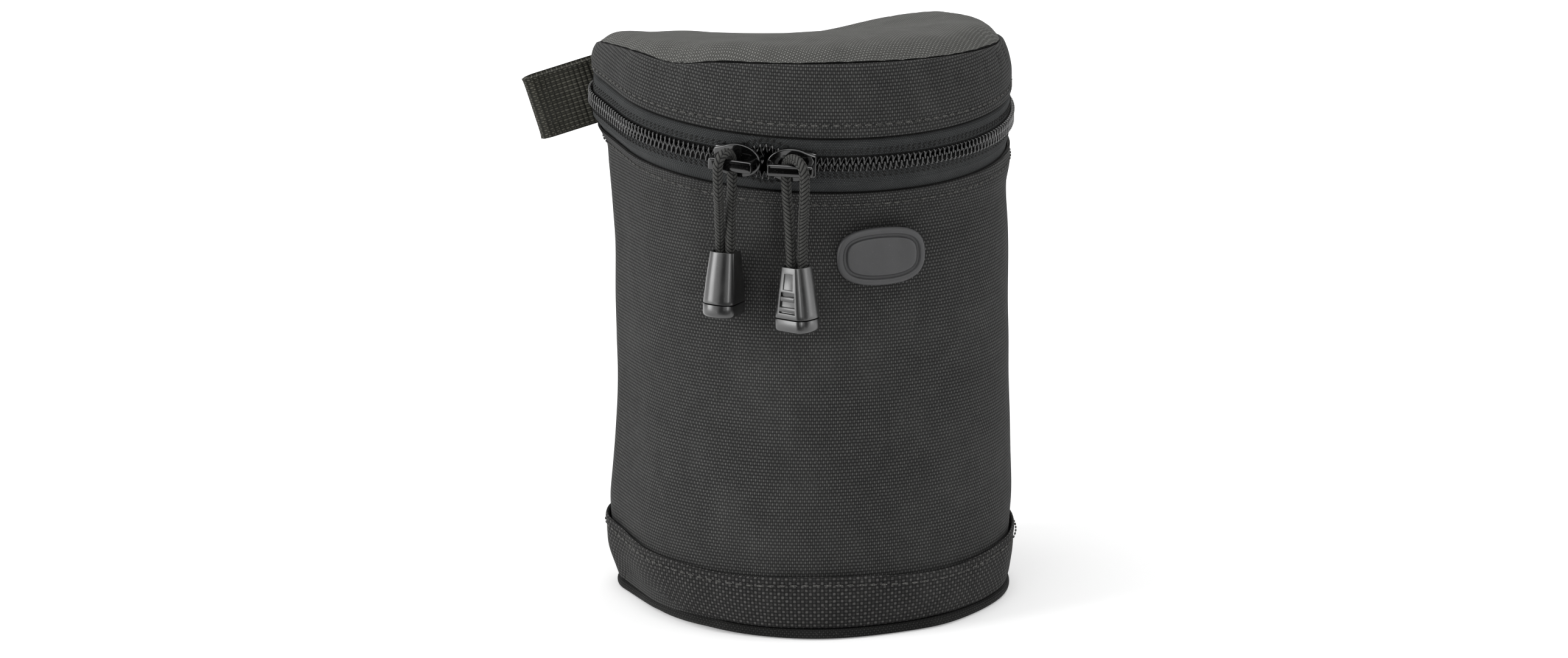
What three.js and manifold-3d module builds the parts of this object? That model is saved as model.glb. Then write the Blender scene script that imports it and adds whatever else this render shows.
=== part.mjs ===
// Padded zip-top lens pouch with a D-shaped plan: round front, straight sides, flat back.
// Millimetres, +Z up, front towards -Y. The origin is on the underside, below the centre of the front arc.

import * as THREE from "three";
import { mergeVertices } from "three/addons/utils/BufferGeometryUtils.js";
import Module from "manifold-3d";

const wasm = await Module();
wasm.setup();

// Driving sizes of the case
const caseRadius = 57.6;            // front arc of the outer fabric at mid height
const backDistance = 43.6;          // flat back, from the arc's centre
const cornerRadius = 22.7;          // rounded back corners
const zipperHeight = 152;           // zipper plane above the base, over the origin
const zipperTilt = THREE.MathUtils.degToRad(6.62);   // the plane rises to the back
const crownShift = -2.8;            // zipper and lid stand this far to the left of the waist
const footShift = -1.4;             // foot against the waist
const footSpread = 2.1;             // how much further out each side of the foot stands
const clearance = 0.3;              // gap between pieces that lie on each other
const overrun = 1;                  // how far a cutting body passes the face it cuts

// Fabric, foam and lining
const fabricThickness = 0.9;
const wallFoamThickness = 7.4;
const baseFoamThickness = 5.5;
const lidTopFoamThickness = 5;
const lidBandFoamThickness = 4;
const liningThickness = 0.8;

// Base
const basePanelThickness = 1.2;
const bindingHeight = 2.8;
const bindingWidth = 3.3;
const baseInset = 0.8;              // base edge inside the case radius
const bandHeight = 21.1;
const bandSlope = 0.02;
const bandFlare = 1.8;              // band's top edge outside the case radius
const bandThickness = 1.2;
const bandHemThickness = 2;
const bandHemDepth = 3.4;
const hemStepShare = 0.2;           // of the hem's depth, where it steps out to its full thickness

// Outer panel, from the base up to its edge below the zipper
const panelFootInset = 2.6;
const panelFootRise = 3.6;
const panelShoulderInset = 1;
const panelShoulderRise = 12;
const footRise = 30;                // the foot starts to narrow to the waist
const waistLow = 68;
const waistDrop = 38;               // waist ends this far below the zipper
const panelEdgeDrop = 9.2;          // fabric edge below the zipper plane
const panelEdgeFlare = 2.5;
const panelMidDrop = 15;
const panelMidFlare = 1.3;
const panelLowDrop = 22;
const panelLowFlare = 0.5;

// Zipper: tapes, coils and the short stretch that stands open between the two sliders
const tapeThickness = 0.7;
const tapeFlare = 2;                // tape's inner face outside the case radius
const tapeEdge = 1.5;               // tape edge from the zipper plane
const tapeFlat = 5.8;               // half height of the stretch the sliders pass over
const tapeTuckDrop = 9;
const tapeTuckFlare = 0.6;
const tapeEndDrop = 15;
const tapeEndFlare = -0.6;
const coilThickness = 1.6;
const coilHeight = 2.4;
const coilPitch = 1.8;
const headReach = 0.4;              // tooth head past the zipper plane
const headValley = 0.9;             // gap between heads, below the plane
const coilValleyDepth = 0.7;
const coilBackShoulder = 0.5;
const headShare = 0.7;              // where in the coil's thickness a head ends
const openSpread = 3.3;             // how far each coil stands off in the open stretch
const openReach = 10.5;             // half length of the open stretch
const openFacetShares = [-1, -0.75, -0.5, -0.25, 0, 0.25, 0.5, 0.75, 1];
const zipperEndTurn = THREE.MathUtils.degToRad(45);  // zipper runs this far round each back corner

// Lid
const lidEdgeRise = 7.9;            // band fabric edge above the zipper plane
const lidBandThickness = 1;
const lidBulgeFlares = [3.2, 3.4, 3.2, 2.4, 1.1, 0];
const lidBulgeShares = [0, 0.2, 0.45, 0.7, 0.9, 1];
const upperTapeTuckFlare = 1.2;
const upperTapeEndFlare = 1;
const upperTapeEndShare = 0.3;      // of the band, from its lower edge to the seam
const seamRise = 20.5;              // lid seam above the zipper, over the origin
const seamFall = 0.029;             // fall of the seam to the back
const seamLean = 0.02;              // fall of the seam to the right
const seamSag = 5;                  // sag in the middle of the back
const seamSagWidthShare = 1.04;     // of the case radius, where the sag has run out
const seamTwist = 1.1;              // further drop of the back's middle; twice this at its left end
const lidTopThickness = 1;
const lidTopOverhang = 0.1;
const lidCrown = 2;
const lidRingShares = [1, 0.86, 0.62, 0.32];
const lidFoamInset = 1.4;
const lidBandFoamRise = 7.2;
const lidBandFoamFlare = 0.7;
const lidLiningInset = 4.3;
const lidLiningRise = 3;

// Fabric hinge across the back, between the two ends of the zipper
const hingeMidFlare = 2.4;
const hingeGapAngle = THREE.MathUtils.degToRad(1.5);

// Sliders and pulls
const sliderLength = 14.5;
const sliderHalfWidth = 5;
const sliderTailHalfWidth = 3.6;
const sliderPlateThickness = 1.2;
const innerPlateInset = 0.9;        // inner plate from the tape's inner face
const innerPlateWidthShare = 0.84;
const innerPlateLengthShare = 0.92;
const noseLengthShare = 0.55;       // handles of the curve from the plate's widest place to its nose
const noseWidthShare = 0.6;
const lipThickness = 0.85;
const lipSlot = 0.45;               // gap the tape passes through
const lipEnd = 1.5;                 // lips stop this far ahead of the slider's middle
const postHalfWidth = 1.2;
const postPoint = 1.8;
const postShoulder = 5;
const postEndShare = 0.7;
const bridgeWidth = 3;
const bridgeThickness = 1.6;
const eyeNose = 3.6;
const eyeTail = 4.8;
const bridgeNose = 6.6;
const bridgeTail = 6.9;
const bridgeRound = 1.5;
const cordRadius = 1.5;
const cordBendShare = 0.5;          // where each leg of the cord bends, from its cord end to the slider
const cordDropShare = 0.2;          // how far each leg has bent two loop radii below the slider
const leftSlider = {
  angle: THREE.MathUtils.degToRad(-41.6), facing: -1, cordUnder: 0.9, cordOver: 2.6,
  tipAngle: THREE.MathUtils.degToRad(-47.3), tipStandOff: 7.6, tipDrop: 32.5, tipTurn: -Math.PI / 2,
};
const rightSlider = {
  angle: THREE.MathUtils.degToRad(-27), facing: 1, cordUnder: -1.3, cordOver: 4.6,
  tipAngle: THREE.MathUtils.degToRad(-28), tipStandOff: 9.8, tipDrop: 35.6,
  tipTurn: THREE.MathUtils.degToRad(-33),
};

// Cord ends
const tipLength = 15.1;
const tipTopWidth = 7.8;
const tipTopDepth = 7.6;
const tipWidth = 12.3;
const tipDepth = 10.1;
const tipTopPower = 2.4;            // the section is rounder at the top
const tipCornerPower = 3.2;
const tipShares = [0, 0.1, 0.55, 1];
const tipFlareShares = [0, 0.1, 0.62, 1];
const socketDepth = 4;
const socketMargin = 0.25;
const capLength = 4;
const capShares = [1, 1, 0.9];
const capRiseShares = [0, 0.75, 1];
const windowWidth = 4.8;
const windowHeight = 6.8;
const windowDepth = 0.8;
const windowDrop = 7;
const ribCount = 2;
const ribHeight = 1.6;

// Badge
const badgeAngle = THREE.MathUtils.degToRad(-4);
const badgeDrop = 35.5;             // badge's centre below the zipper
const badgeWidth = 27;
const badgeDepth = 17.2;
const badgeThickness = 1.8;
const badgePower = 3;
const badgeInsets = [0, 0.5, 1.9, 2.3, 3.1, 3.5];
const badgeLevelShares = [0.6, 1, 1, 0.45, 0.45, 0.85];

// Belt loop on the back
const loopWidth = 42;
const loopHeight = 72;
const loopTopDrop = 2;              // loop's top end below the waist's top
const loopThickness = 1.6;
const loopGap = 6.5;
const loopSewn = 10;
const loopRamp = 7;

// Webbing tab sewn in at the left end of the zipper
const tabWidth = 20;
const tabLength = 22;
const tabThickness = 1.5;
const tabGap = 1;
const tabTurn = THREE.MathUtils.degToRad(55);
const tabHeading = THREE.MathUtils.degToRad(161);
const tabDroop = THREE.MathUtils.degToRad(16.5);
const tabStandOff = 4.5;
const tabDrop = 2;

// Facets
const frontFacets = 20;
const cornerFacets = 6;
const cordSides = 8;
const cordStepShare = 2;            // length of a cord's facets, in cord radii
const cordLoopSteps = 6;
const noseFacets = 6;
const bridgeFacets = 4;
const tipSides = 16;
const badgeSides = 28;
const tabFoldFacets = 6;

// Positions derived from the sizes above
const waistHigh = zipperHeight - waistDrop;
const sideLength = backDistance - cornerRadius;
const coilInner = tapeFlare + tapeThickness + clearance;
const coilOuter = coilInner + coilThickness;
const zipperRadius = caseRadius + coilOuter;
const outerPlateInner = zipperRadius + clearance;
const outerPlateOuter = outerPlateInner + sliderPlateThickness;
const innerPlateOuter = caseRadius + tapeFlare - innerPlateInset;
const cordLoopRadius = Math.hypot(bridgeWidth / 2, bridgeThickness / 2) + clearance + cordRadius;
const bridgeAxis = outerPlateOuter + clearance + cordRadius + cordLoopRadius;
const wallFoamOffset = -fabricThickness - clearance;
const wallLiningOffset = wallFoamOffset - wallFoamThickness - clearance;
const baseFoamFloor = basePanelThickness + clearance;
const baseLiningFloor = baseFoamFloor + baseFoamThickness + clearance;
const wallLiningFloor = baseLiningFloor + liningThickness + clearance;
const foamTopDrop = panelEdgeDrop - clearance;
const liningFlangeDrop = foamTopDrop - clearance;
const basePanelOffset = -baseInset - bindingWidth - clearance;
const frontArcTravel = zipperRadius * Math.PI / 2;
const cornerTravel = (cornerRadius + coilOuter) * zipperEndTurn;
const openCentre = zipperRadius * (leftSlider.angle + rightSlider.angle) / 2;

// One place on the plan outline: its foot on the case radius and its outward direction.
// Travel is measured along the zipper from the front centre, positive to the right.
function station(travel) {
  const side = travel < 0 ? -1 : 1;
  let distance = Math.abs(travel);
  if (distance <= frontArcTravel) {
    const angle = distance / zipperRadius;
    const normal = new THREE.Vector2(side * Math.sin(angle), -Math.cos(angle));
    return { foot: normal.clone().multiplyScalar(caseRadius), normal };
  }
  distance -= frontArcTravel;
  if (distance <= sideLength) {
    return { foot: new THREE.Vector2(side * caseRadius, distance), normal: new THREE.Vector2(side, 0) };
  }
  const turn = (distance - sideLength) / (cornerRadius + coilOuter);
  return cornerStation(side, turn);
}

function cornerStation(side, turn) {
  const normal = new THREE.Vector2(side * Math.cos(turn), Math.sin(turn));
  const centre = new THREE.Vector2(side * (caseRadius - cornerRadius), sideLength);
  return { foot: centre.add(normal.clone().multiplyScalar(cornerRadius)), normal };
}

// Stations from the left back corner, round the front, to the right one
function frontRun(turn, extraTravels = []) {
  const travels = [];
  for (let i = 0; i <= frontFacets; i++) travels.push(frontArcTravel * (2 * i / frontFacets - 1));
  const merged = [...travels, ...extraTravels].sort((a, b) => a - b);
  const arc = merged.map(station);
  const facets = Math.round(cornerFacets * turn / (Math.PI / 2));
  const corner = (side) => Array.from({ length: facets + 1 },
    (_, i) => cornerStation(side, facets ? turn * i / facets : 0));
  return [...corner(-1).reverse(), ...arc, ...corner(1)];
}

// Stations across the back, from the right corner to the left one
function backRun(turn) {
  const facets = Math.round(cornerFacets * (1 - turn / (Math.PI / 2)));
  const step = (Math.PI / 2 - turn) / facets;
  const corner = (side) => Array.from({ length: facets + 1 },
    (_, i) => cornerStation(side, i ? turn + step * i : turn + hingeGapAngle));
  return [...corner(1), ...corner(-1).reverse()];
}

// Levels turn a plan point into a place in space. The foot spreads out below the waist. The zipper
// and all above it stand to the left, and the panel's top edge and the tape lean over to reach them.
const fade = (value, none, whole) => THREE.MathUtils.clamp((value - none) / (whole - none), 0, 1);
function flat(height, slope = 0) {
  const foot = fade(height, waistLow, footRise);
  const stretch = 1 + foot * footSpread / caseRadius;
  return (x, y) => new THREE.Vector3(x * stretch + foot * footShift, y, height + slope * y);
}

const zipperSine = Math.sin(zipperTilt);
const zipperCosine = Math.cos(zipperTilt);
function zip(rise) {
  const shift = crownShift * fade(rise, -panelMidDrop, -tapeFlat);
  return (x, y) => new THREE.Vector3(x + shift,
    y * zipperCosine - rise * zipperSine, zipperHeight + y * zipperSine + rise * zipperCosine);
}

function seamAt(x, y) {
  const back = Math.max(y, 0) / backDistance;
  const middle = 1 - (x / (caseRadius * seamSagWidthShare)) ** 2;
  const drop = seamSag * middle + seamTwist * (1 - x / caseRadius);
  return zipperHeight + seamRise - seamFall * y - seamLean * x - drop * back ** 2;
}
const seam = (rise) => (x, y) => new THREE.Vector3(x + crownShift, y, seamAt(x, y) + rise);
const between = (low, high, share) => (x, y) => low(x, y).lerp(high(x, y), share);

function ring(stations, offset, level) {
  return stations.map((s) => level(s.foot.x + offset * s.normal.x, s.foot.y + offset * s.normal.y));
}

// A closed body from points and triangles, turned to face outwards
function body(points, triangles) {
  const at = (i) => points[i];
  const volume = triangles.reduce((sum, [a, b, c]) => sum + at(a).dot(at(b).clone().cross(at(c))), 0);
  const index = triangles.flatMap(([a, b, c]) => volume > 0 ? [a, b, c] : [a, c, b]);
  const geometry = new THREE.BufferGeometry();
  const numbers = points.flatMap((p) => p.toArray());
  geometry.setAttribute("position", new THREE.Float32BufferAttribute(numbers, 3));
  geometry.setIndex(index);
  geometry.computeVertexNormals();
  return geometry;
}

// A wall between two lists of rings, closed round the plan or with two cut ends
function wall(outer, inner, closed) {
  const loop = [...outer, ...[...inner].reverse()];
  const count = outer[0].length;
  const levels = outer.length;
  const points = loop.flat();
  const triangles = [];
  const quad = (a, b, c, d) => triangles.push([a, b, c], [a, c, d]);
  for (let k = 0; k < loop.length; k++) {
    const next = (k + 1) % loop.length;
    for (let i = 0; i < (closed ? count : count - 1); i++) {
      const j = (i + 1) % count;
      quad(k * count + i, k * count + j, next * count + j, next * count + i);
    }
  }
  if (!closed) {
    for (let k = 0; k < levels - 1; k++) {
      const back = loop.length - 1 - k;
      quad(k * count, (k + 1) * count, (back - 1) * count, back * count);
      const last = count - 1;
      quad(k * count + last, back * count + last, (back - 1) * count + last, (k + 1) * count + last);
    }
  }
  return body(points, triangles);
}

// A sheet between rings that shrink to a centre, above and below
function sheet(top, topCentre, bottom, bottomCentre) {
  const loop = [...[...top].reverse(), ...bottom];
  const count = top[0].length;
  const points = [...loop.flat(), topCentre, bottomCentre];
  const triangles = [];
  for (let i = 0; i < count; i++) {
    const j = (i + 1) % count;
    for (let k = 0; k < loop.length - 1; k++) {
      triangles.push([k * count + i, k * count + j, (k + 1) * count + j]);
      triangles.push([k * count + i, (k + 1) * count + j, (k + 1) * count + i]);
    }
    const last = (loop.length - 1) * count;
    triangles.push([points.length - 2, j, i]);
    triangles.push([points.length - 1, last + i, last + j]);
  }
  return body(points, triangles);
}

// A run of like sections, capped at both ends
function loft(sections) {
  const count = sections[0].length;
  const points = sections.flat();
  const triangles = [];
  for (let k = 0; k < sections.length - 1; k++) {
    for (let i = 0; i < count; i++) {
      const j = (i + 1) % count;
      triangles.push([k * count + i, k * count + j, (k + 1) * count + j]);
      triangles.push([k * count + i, (k + 1) * count + j, (k + 1) * count + i]);
    }
  }
  const last = (sections.length - 1) * count;
  for (let i = 1; i < count - 1; i++) {
    triangles.push([0, i + 1, i]);
    triangles.push([last, last + i, last + i + 1]);
  }
  return body(points, triangles);
}

function toSolid(geometry) {
  const bare = geometry.clone();
  bare.deleteAttribute("normal");
  bare.deleteAttribute("uv");
  const merged = mergeVertices(bare);
  return new wasm.Manifold(new wasm.Mesh({
    numProp: 3,
    vertProperties: new Float32Array(merged.attributes.position.array),
    triVerts: new Uint32Array(merged.index.array),
  }));
}

function toGeometry(solid) {
  const mesh = solid.getMesh();
  const geometry = new THREE.BufferGeometry();
  geometry.setAttribute("position", new THREE.BufferAttribute(new Float32Array(mesh.vertProperties), 3));
  geometry.setIndex(new THREE.BufferAttribute(new Uint32Array(mesh.triVerts), 1));
  geometry.computeVertexNormals();
  return geometry;
}

const superellipse = (width, depth, power, sides) => Array.from({ length: sides }, (_, i) => {
  const angle = 2 * Math.PI * i / sides;
  const round = (value) => Math.sign(value) * Math.abs(value) ** (2 / power);
  return new THREE.Vector2(width / 2 * round(Math.cos(angle)), depth / 2 * round(Math.sin(angle)));
});

// Materials
const finish = (color, roughness, metalness = 0) =>
  new THREE.MeshStandardMaterial({ color, roughness, metalness });
const panelCloth = finish(0x343231, 0.9);
const bandCloth = finish(0x302e2d, 0.85);
const lidCloth = finish(0x565652, 0.9);
const foam = finish(0x3a3a3c, 1);
const lining = finish(0x4c4e50, 0.9);
const tapeCloth = finish(0x34383a, 0.85);
const coilPlastic = finish(0x2c2c2c, 0.35);
const castMetal = finish(0x101010, 0.2, 0.3);
const cordBraid = finish(0x33332e, 0.85);
const tipPlastic = finish(0x1c1c1c, 0.4);
const badgeRubber = finish(0x3a3a3a, 0.6);
const webbing = finish(0x2e2d24, 0.9);

const pouch = new THREE.Group();
function add(name, geometry, material) {
  const mesh = new THREE.Mesh(geometry, material);
  mesh.name = name;
  pouch.add(mesh);
}

const wholePlan = frontRun(Math.PI / 2);
const inset = (rings, amount) => rings.map(([offset, level]) => [offset - amount, level]);
const rings = (stations, table) => table.map(([offset, level]) => ring(stations, offset, level));

// A wall of one thickness, from the rings of its outer face
const skin = (stations, table, thickness, closed) =>
  wall(rings(stations, table), rings(stations, inset(table, thickness)), closed);

function planSlab(offset, floor, thickness) {
  const outline = ring(wholePlan, offset, flat(0)).map((p) => new THREE.Vector2(p.x, p.y));
  const options = { depth: thickness, bevelEnabled: false };
  return new THREE.ExtrudeGeometry(new THREE.Shape(outline), options).translate(0, 0, floor);
}

// Base: panel, binding round its edge, padded floor and the band round the foot
function buildBase() {
  add("base_panel", planSlab(basePanelOffset, 0, basePanelThickness), panelCloth);
  const edge = [[-baseInset, flat(0)], [-baseInset, flat(bindingHeight)]];
  add("base_binding", skin(wholePlan, edge, bindingWidth, true), bandCloth);
  add("base_foam", planSlab(basePanelOffset, baseFoamFloor, baseFoamThickness), foam);
  add("base_lining", planSlab(wallLiningOffset, baseLiningFloor, liningThickness), lining);

  const foot = flat(bindingHeight + clearance);
  const hem = flat(bandHeight - bandHemDepth, bandSlope);
  const top = flat(bandHeight, bandSlope);
  const hemShare = (bandHeight - bandHemDepth - bindingHeight) / (bandHeight - bindingHeight);
  const hemFlare = -baseInset + (bandFlare + baseInset) * hemShare;
  const step = between(hem, top, hemStepShare);
  const outer = [[-baseInset, foot], [hemFlare, hem], [bandFlare, step], [bandFlare, top]];
  const inner = [[-baseInset - bandThickness, foot], [hemFlare - bandThickness, hem],
    [bandFlare - bandHemThickness, step], [bandFlare - bandHemThickness, top]];
  add("base_band", wall(rings(wholePlan, outer), rings(wholePlan, inner), true), bandCloth);
}

// Outer panels, wall padding and lining
const panelProfile = [
  [-panelFootInset, flat(panelFootRise)],
  [-panelShoulderInset, flat(panelShoulderRise)],
  [0, flat(footRise)],
  [0, flat(waistLow)],
  [0, flat(waistHigh)],
  [panelLowFlare, zip(-panelLowDrop)],
  [panelMidFlare, zip(-panelMidDrop)],
  [panelEdgeFlare, zip(-panelEdgeDrop)],
];

function buildWalls() {
  add("front_panel", skin(wholePlan, panelProfile, fabricThickness, false), panelCloth);

  const backEdge = caseRadius - cornerRadius - clearance;
  const backStations = [1, -1].map((side) => (
    { foot: new THREE.Vector2(side * backEdge, backDistance), normal: new THREE.Vector2(0, 1) }));
  add("back_panel", skin(backStations, panelProfile, fabricThickness, false), panelCloth);

  const slope = (panelFootInset - panelShoulderInset) / (panelShoulderRise - panelFootRise);
  const foamFootOffset = wallFoamOffset - panelFootInset + slope * (baseLiningFloor - panelFootRise);
  const foamOuter = [[foamFootOffset, flat(baseLiningFloor)],
    [wallFoamOffset - panelShoulderInset, flat(panelShoulderRise)],
    ...[flat(footRise), flat(waistLow), flat(waistHigh), zip(-panelLowDrop), zip(-panelMidDrop),
      zip(-foamTopDrop)].map((level) => [wallFoamOffset, level])];
  const foamInner = foamOuter.map(([, level]) => [wallFoamOffset - wallFoamThickness, level]);
  add("wall_foam", wall(rings(wholePlan, foamOuter), rings(wholePlan, foamInner), true), foam);

  const flangeTop = zip(liningThickness - liningFlangeDrop);
  const levels = [zip(-liningFlangeDrop), zip(-panelMidDrop), zip(-panelLowDrop), flat(waistHigh),
    flat(waistLow), flat(footRise), flat(wallLiningFloor)];
  const liningOuter = [[tapeEndFlare, levels[0]], ...levels.map((level) => [wallLiningOffset, level])];
  const liningInner = [[tapeEndFlare, flangeTop], [wallLiningOffset - liningThickness, flangeTop],
    ...levels.slice(1).map((level) => [wallLiningOffset - liningThickness, level])];
  add("wall_lining", wall(rings(wholePlan, liningOuter), rings(wholePlan, liningInner), true), lining);
}

// How far the coils stand off the zipper plane: nothing where they are joined, most between the sliders
function spreadAt(travel) {
  return openSpread * THREE.MathUtils.smoothstep(openReach - Math.abs(travel - openCentre), 0, openReach);
}

// Zipper tapes: each runs from beside the coil to under the fabric's edge
function tape(side, tuck, ends) {
  const extra = openFacetShares.map((share) => openCentre + share * openReach);
  const stations = frontRun(zipperEndTurn, extra);
  const travels = stations.map(({ foot, normal }) => {
    const onArc = foot.y <= 0;
    return onArc ? Math.atan2(normal.x, -normal.y) * zipperRadius : Infinity;
  });
  const edgeRing = (offset) => stations.map(({ foot, normal }, i) => {
    const rise = side * (tapeEdge + spreadAt(travels[i]));
    return zip(rise)(foot.x + offset * normal.x, foot.y + offset * normal.y);
  });
  const table = [[tapeFlare + tapeThickness, zip(side * tapeFlat)], ...tuck, ...ends];
  const outer = [edgeRing(tapeFlare + tapeThickness), ...rings(stations, table)];
  const inner = [edgeRing(tapeFlare), ...rings(stations, inset(table, tapeThickness))];
  return wall(outer, inner, false);
}

// One coil: a continuous strip whose teeth reach past the zipper plane between the other coil's teeth
function coil(side) {
  const reach = frontArcTravel + sideLength + cornerTravel;
  const teeth = Math.floor(2 * reach / coilPitch);
  const phase = side > 0 ? coilPitch / 2 : 0;
  const start = -teeth * coilPitch / 2 + phase;
  const sections = [];
  for (let i = 0; i < 2 * teeth - 1; i++) {
    const travel = start + i * coilPitch / 2;
    const crest = i % 2 === 0;
    const { foot, normal } = station(travel);
    const lift = spreadAt(travel);
    const point = (offset, rise) =>
      zip(-side * (rise - lift))(foot.x + offset * normal.x, foot.y + offset * normal.y);
    const front = crest ? coilOuter : coilOuter - coilValleyDepth;
    const head = crest ? headReach : -headValley;
    sections.push([point(coilInner, -coilHeight), point(front, -coilHeight),
      point(coilInner + (front - coilInner) * headShare, head), point(coilInner, head - coilBackShoulder)]);
  }
  return loft(sections);
}

function buildZipper() {
  const upperEdge = zip(lidEdgeRise);
  const lowerTuck = [[tapeTuckFlare + tapeThickness, zip(-tapeTuckDrop)]];
  const lowerEnd = [[tapeEndFlare + tapeThickness, zip(-tapeEndDrop)]];
  const upperTuck = [[upperTapeTuckFlare + tapeThickness, upperEdge]];
  const upperEnd = [[upperTapeEndFlare + tapeThickness, between(upperEdge, seam(0), upperTapeEndShare)]];
  add("lower_tape", tape(-1, lowerTuck, lowerEnd), tapeCloth);
  add("upper_tape", tape(1, upperTuck, upperEnd), tapeCloth);
  add("lower_coil", coil(-1), coilPlastic);
  add("upper_coil", coil(1), coilPlastic);

  const stations = backRun(zipperEndTurn);
  const table = [
    [tapeEndFlare + tapeThickness, zip(-tapeEndDrop)],
    [tapeTuckFlare + tapeThickness, zip(-tapeTuckDrop)],
    [tapeFlare + tapeThickness, zip(-tapeFlat)],
    [hingeMidFlare + tapeThickness, zip(0)],
    [tapeFlare + tapeThickness, zip(tapeFlat)],
    ...upperTuck, ...upperEnd,
  ];
  add("hinge_fabric", skin(stations, table, tapeThickness, false), panelCloth);
}

// Lid: band, top panel, padding and lining
function lidSurface(offset, lift) {
  const at = (share) => ring(wholePlan, offset, (x, y) => {
    return seam(lift + lidCrown * (1 - share ** 2))(x * share, y * share);
  });
  return { rings: lidRingShares.map(at), centre: seam(lift + lidCrown)(0, 0) };
}

function lidSlab(offset, rise, thickness) {
  const top = lidSurface(offset, rise);
  const bottom = lidSurface(offset, rise - thickness);
  return sheet(top.rings, top.centre, bottom.rings, bottom.centre);
}

function buildLid() {
  const edge = zip(lidEdgeRise);
  const band = lidBulgeShares.map((share, i) => [lidBulgeFlares[i], between(edge, seam(0), share)]);
  add("lid_band", skin(wholePlan, band, lidBandThickness, true), panelCloth);
  add("lid_top", lidSlab(lidTopOverhang, clearance + lidTopThickness, lidTopThickness), lidCloth);
  add("lid_top_foam", lidSlab(-lidFoamInset, 0, lidTopFoamThickness), foam);

  const padFloor = seam(-lidTopFoamThickness - clearance);
  const bandFoam = [[lidBandFoamFlare, zip(lidBandFoamRise)], [0, padFloor]];
  add("lid_band_foam", skin(frontRun(0), bandFoam, lidBandFoamThickness, false), foam);

  const ceiling = -lidTopFoamThickness - clearance;
  const above = lidSurface(-lidLiningInset, ceiling);
  const below = lidSurface(-lidLiningInset - liningThickness, ceiling - liningThickness);
  const skirt = zip(lidLiningRise);
  const outer = [ring(wholePlan, -lidLiningInset, skirt), ...above.rings];
  const inner = [ring(wholePlan, -lidLiningInset - liningThickness, skirt), ...below.rings];
  add("lid_lining", sheet(outer, above.centre, inner, below.centre), lining);
}

// Sliders, in the zipper plane's own frame: x along the zipper towards the tail, y outwards, z up
function plateOutline(lengthShare, widthShare) {
  const half = sliderLength / 2 * lengthShare;
  const width = sliderHalfWidth * widthShare;
  const tail = sliderTailHalfWidth * widthShare;
  const handle = half * noseLengthShare;
  const noseWidth = width * noseWidthShare;
  const shape = new THREE.Shape();
  shape.moveTo(half, -tail);
  shape.lineTo(half, tail);
  shape.lineTo(0, width);
  shape.bezierCurveTo(-handle, width, -half, noseWidth, -half, 0);
  shape.bezierCurveTo(-half, -noseWidth, -handle, -width, 0, -width);
  shape.closePath();
  return shape;
}

// Extrudes a shape drawn along and across the zipper, from one distance outwards to another
function plate(shape, from, to) {
  const options = { depth: to - from, bevelEnabled: false, curveSegments: noseFacets };
  return new THREE.ExtrudeGeometry(shape, options).rotateX(Math.PI / 2).translate(0, to, 0);
}

function buildSlider() {
  const outerPlate = toSolid(plate(plateOutline(1, 1), outerPlateInner, outerPlateOuter));
  const innerPlate = toSolid(plate(plateOutline(innerPlateLengthShare, innerPlateWidthShare),
    innerPlateOuter - sliderPlateThickness, innerPlateOuter));

  const post = new THREE.Shape();
  const postEnd = -postShoulder - postHalfWidth;
  post.moveTo(-postPoint, 0);
  post.lineTo(-postShoulder, postHalfWidth);
  post.lineTo(postEnd, postHalfWidth * postEndShare);
  post.lineTo(postEnd, -postHalfWidth * postEndShare);
  post.lineTo(-postShoulder, -postHalfWidth);
  const sunk = sliderPlateThickness / 2;
  const postSolid = toSolid(plate(post, innerPlateOuter - sunk, outerPlateInner + sunk));

  const lip = (side) => {
    const half = sliderLength / 2;
    const outerEdge = side * sliderHalfWidth;
    const innerEdge = side * (sliderHalfWidth - lipThickness);
    const shape = new THREE.Shape();
    shape.moveTo(half, side * (sliderTailHalfWidth - lipThickness));
    shape.lineTo(half, side * sliderTailHalfWidth);
    shape.lineTo(0, outerEdge);
    shape.lineTo(-lipEnd, outerEdge);
    shape.lineTo(-lipEnd, innerEdge);
    shape.lineTo(0, innerEdge);
    shape.closePath();
    return toSolid(plate(shape, caseRadius + tapeFlare + tapeThickness + lipSlot, outerPlateInner + sunk));
  };

  const arch = new THREE.Shape();
  const archTop = bridgeAxis + bridgeThickness / 2;
  const eyeTop = bridgeAxis - bridgeThickness / 2;
  const root = outerPlateOuter - sunk;
  arch.moveTo(-bridgeNose, root);
  arch.lineTo(-bridgeNose, eyeTop - bridgeRound);
  arch.quadraticCurveTo(-bridgeNose, archTop, -bridgeNose + bridgeRound * 2, archTop);
  arch.lineTo(bridgeTail - bridgeRound * 2, archTop);
  arch.quadraticCurveTo(bridgeTail, archTop, bridgeTail, eyeTop - bridgeRound);
  arch.lineTo(bridgeTail, root);
  arch.lineTo(eyeTail, root);
  arch.lineTo(eyeTail, eyeTop - bridgeRound);
  arch.quadraticCurveTo(eyeTail, eyeTop, eyeTail - bridgeRound, eyeTop);
  arch.lineTo(-eyeNose + bridgeRound, eyeTop);
  arch.quadraticCurveTo(-eyeNose, eyeTop, -eyeNose, eyeTop - bridgeRound);
  arch.lineTo(-eyeNose, root);
  arch.closePath();
  const options = { depth: bridgeWidth, bevelEnabled: false, curveSegments: bridgeFacets };
  const bridge = new THREE.ExtrudeGeometry(arch, options).translate(0, 0, -bridgeWidth / 2);

  return outerPlate.add(innerPlate).add(postSolid).add(lip(1)).add(lip(-1)).add(toSolid(bridge));
}

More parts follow.
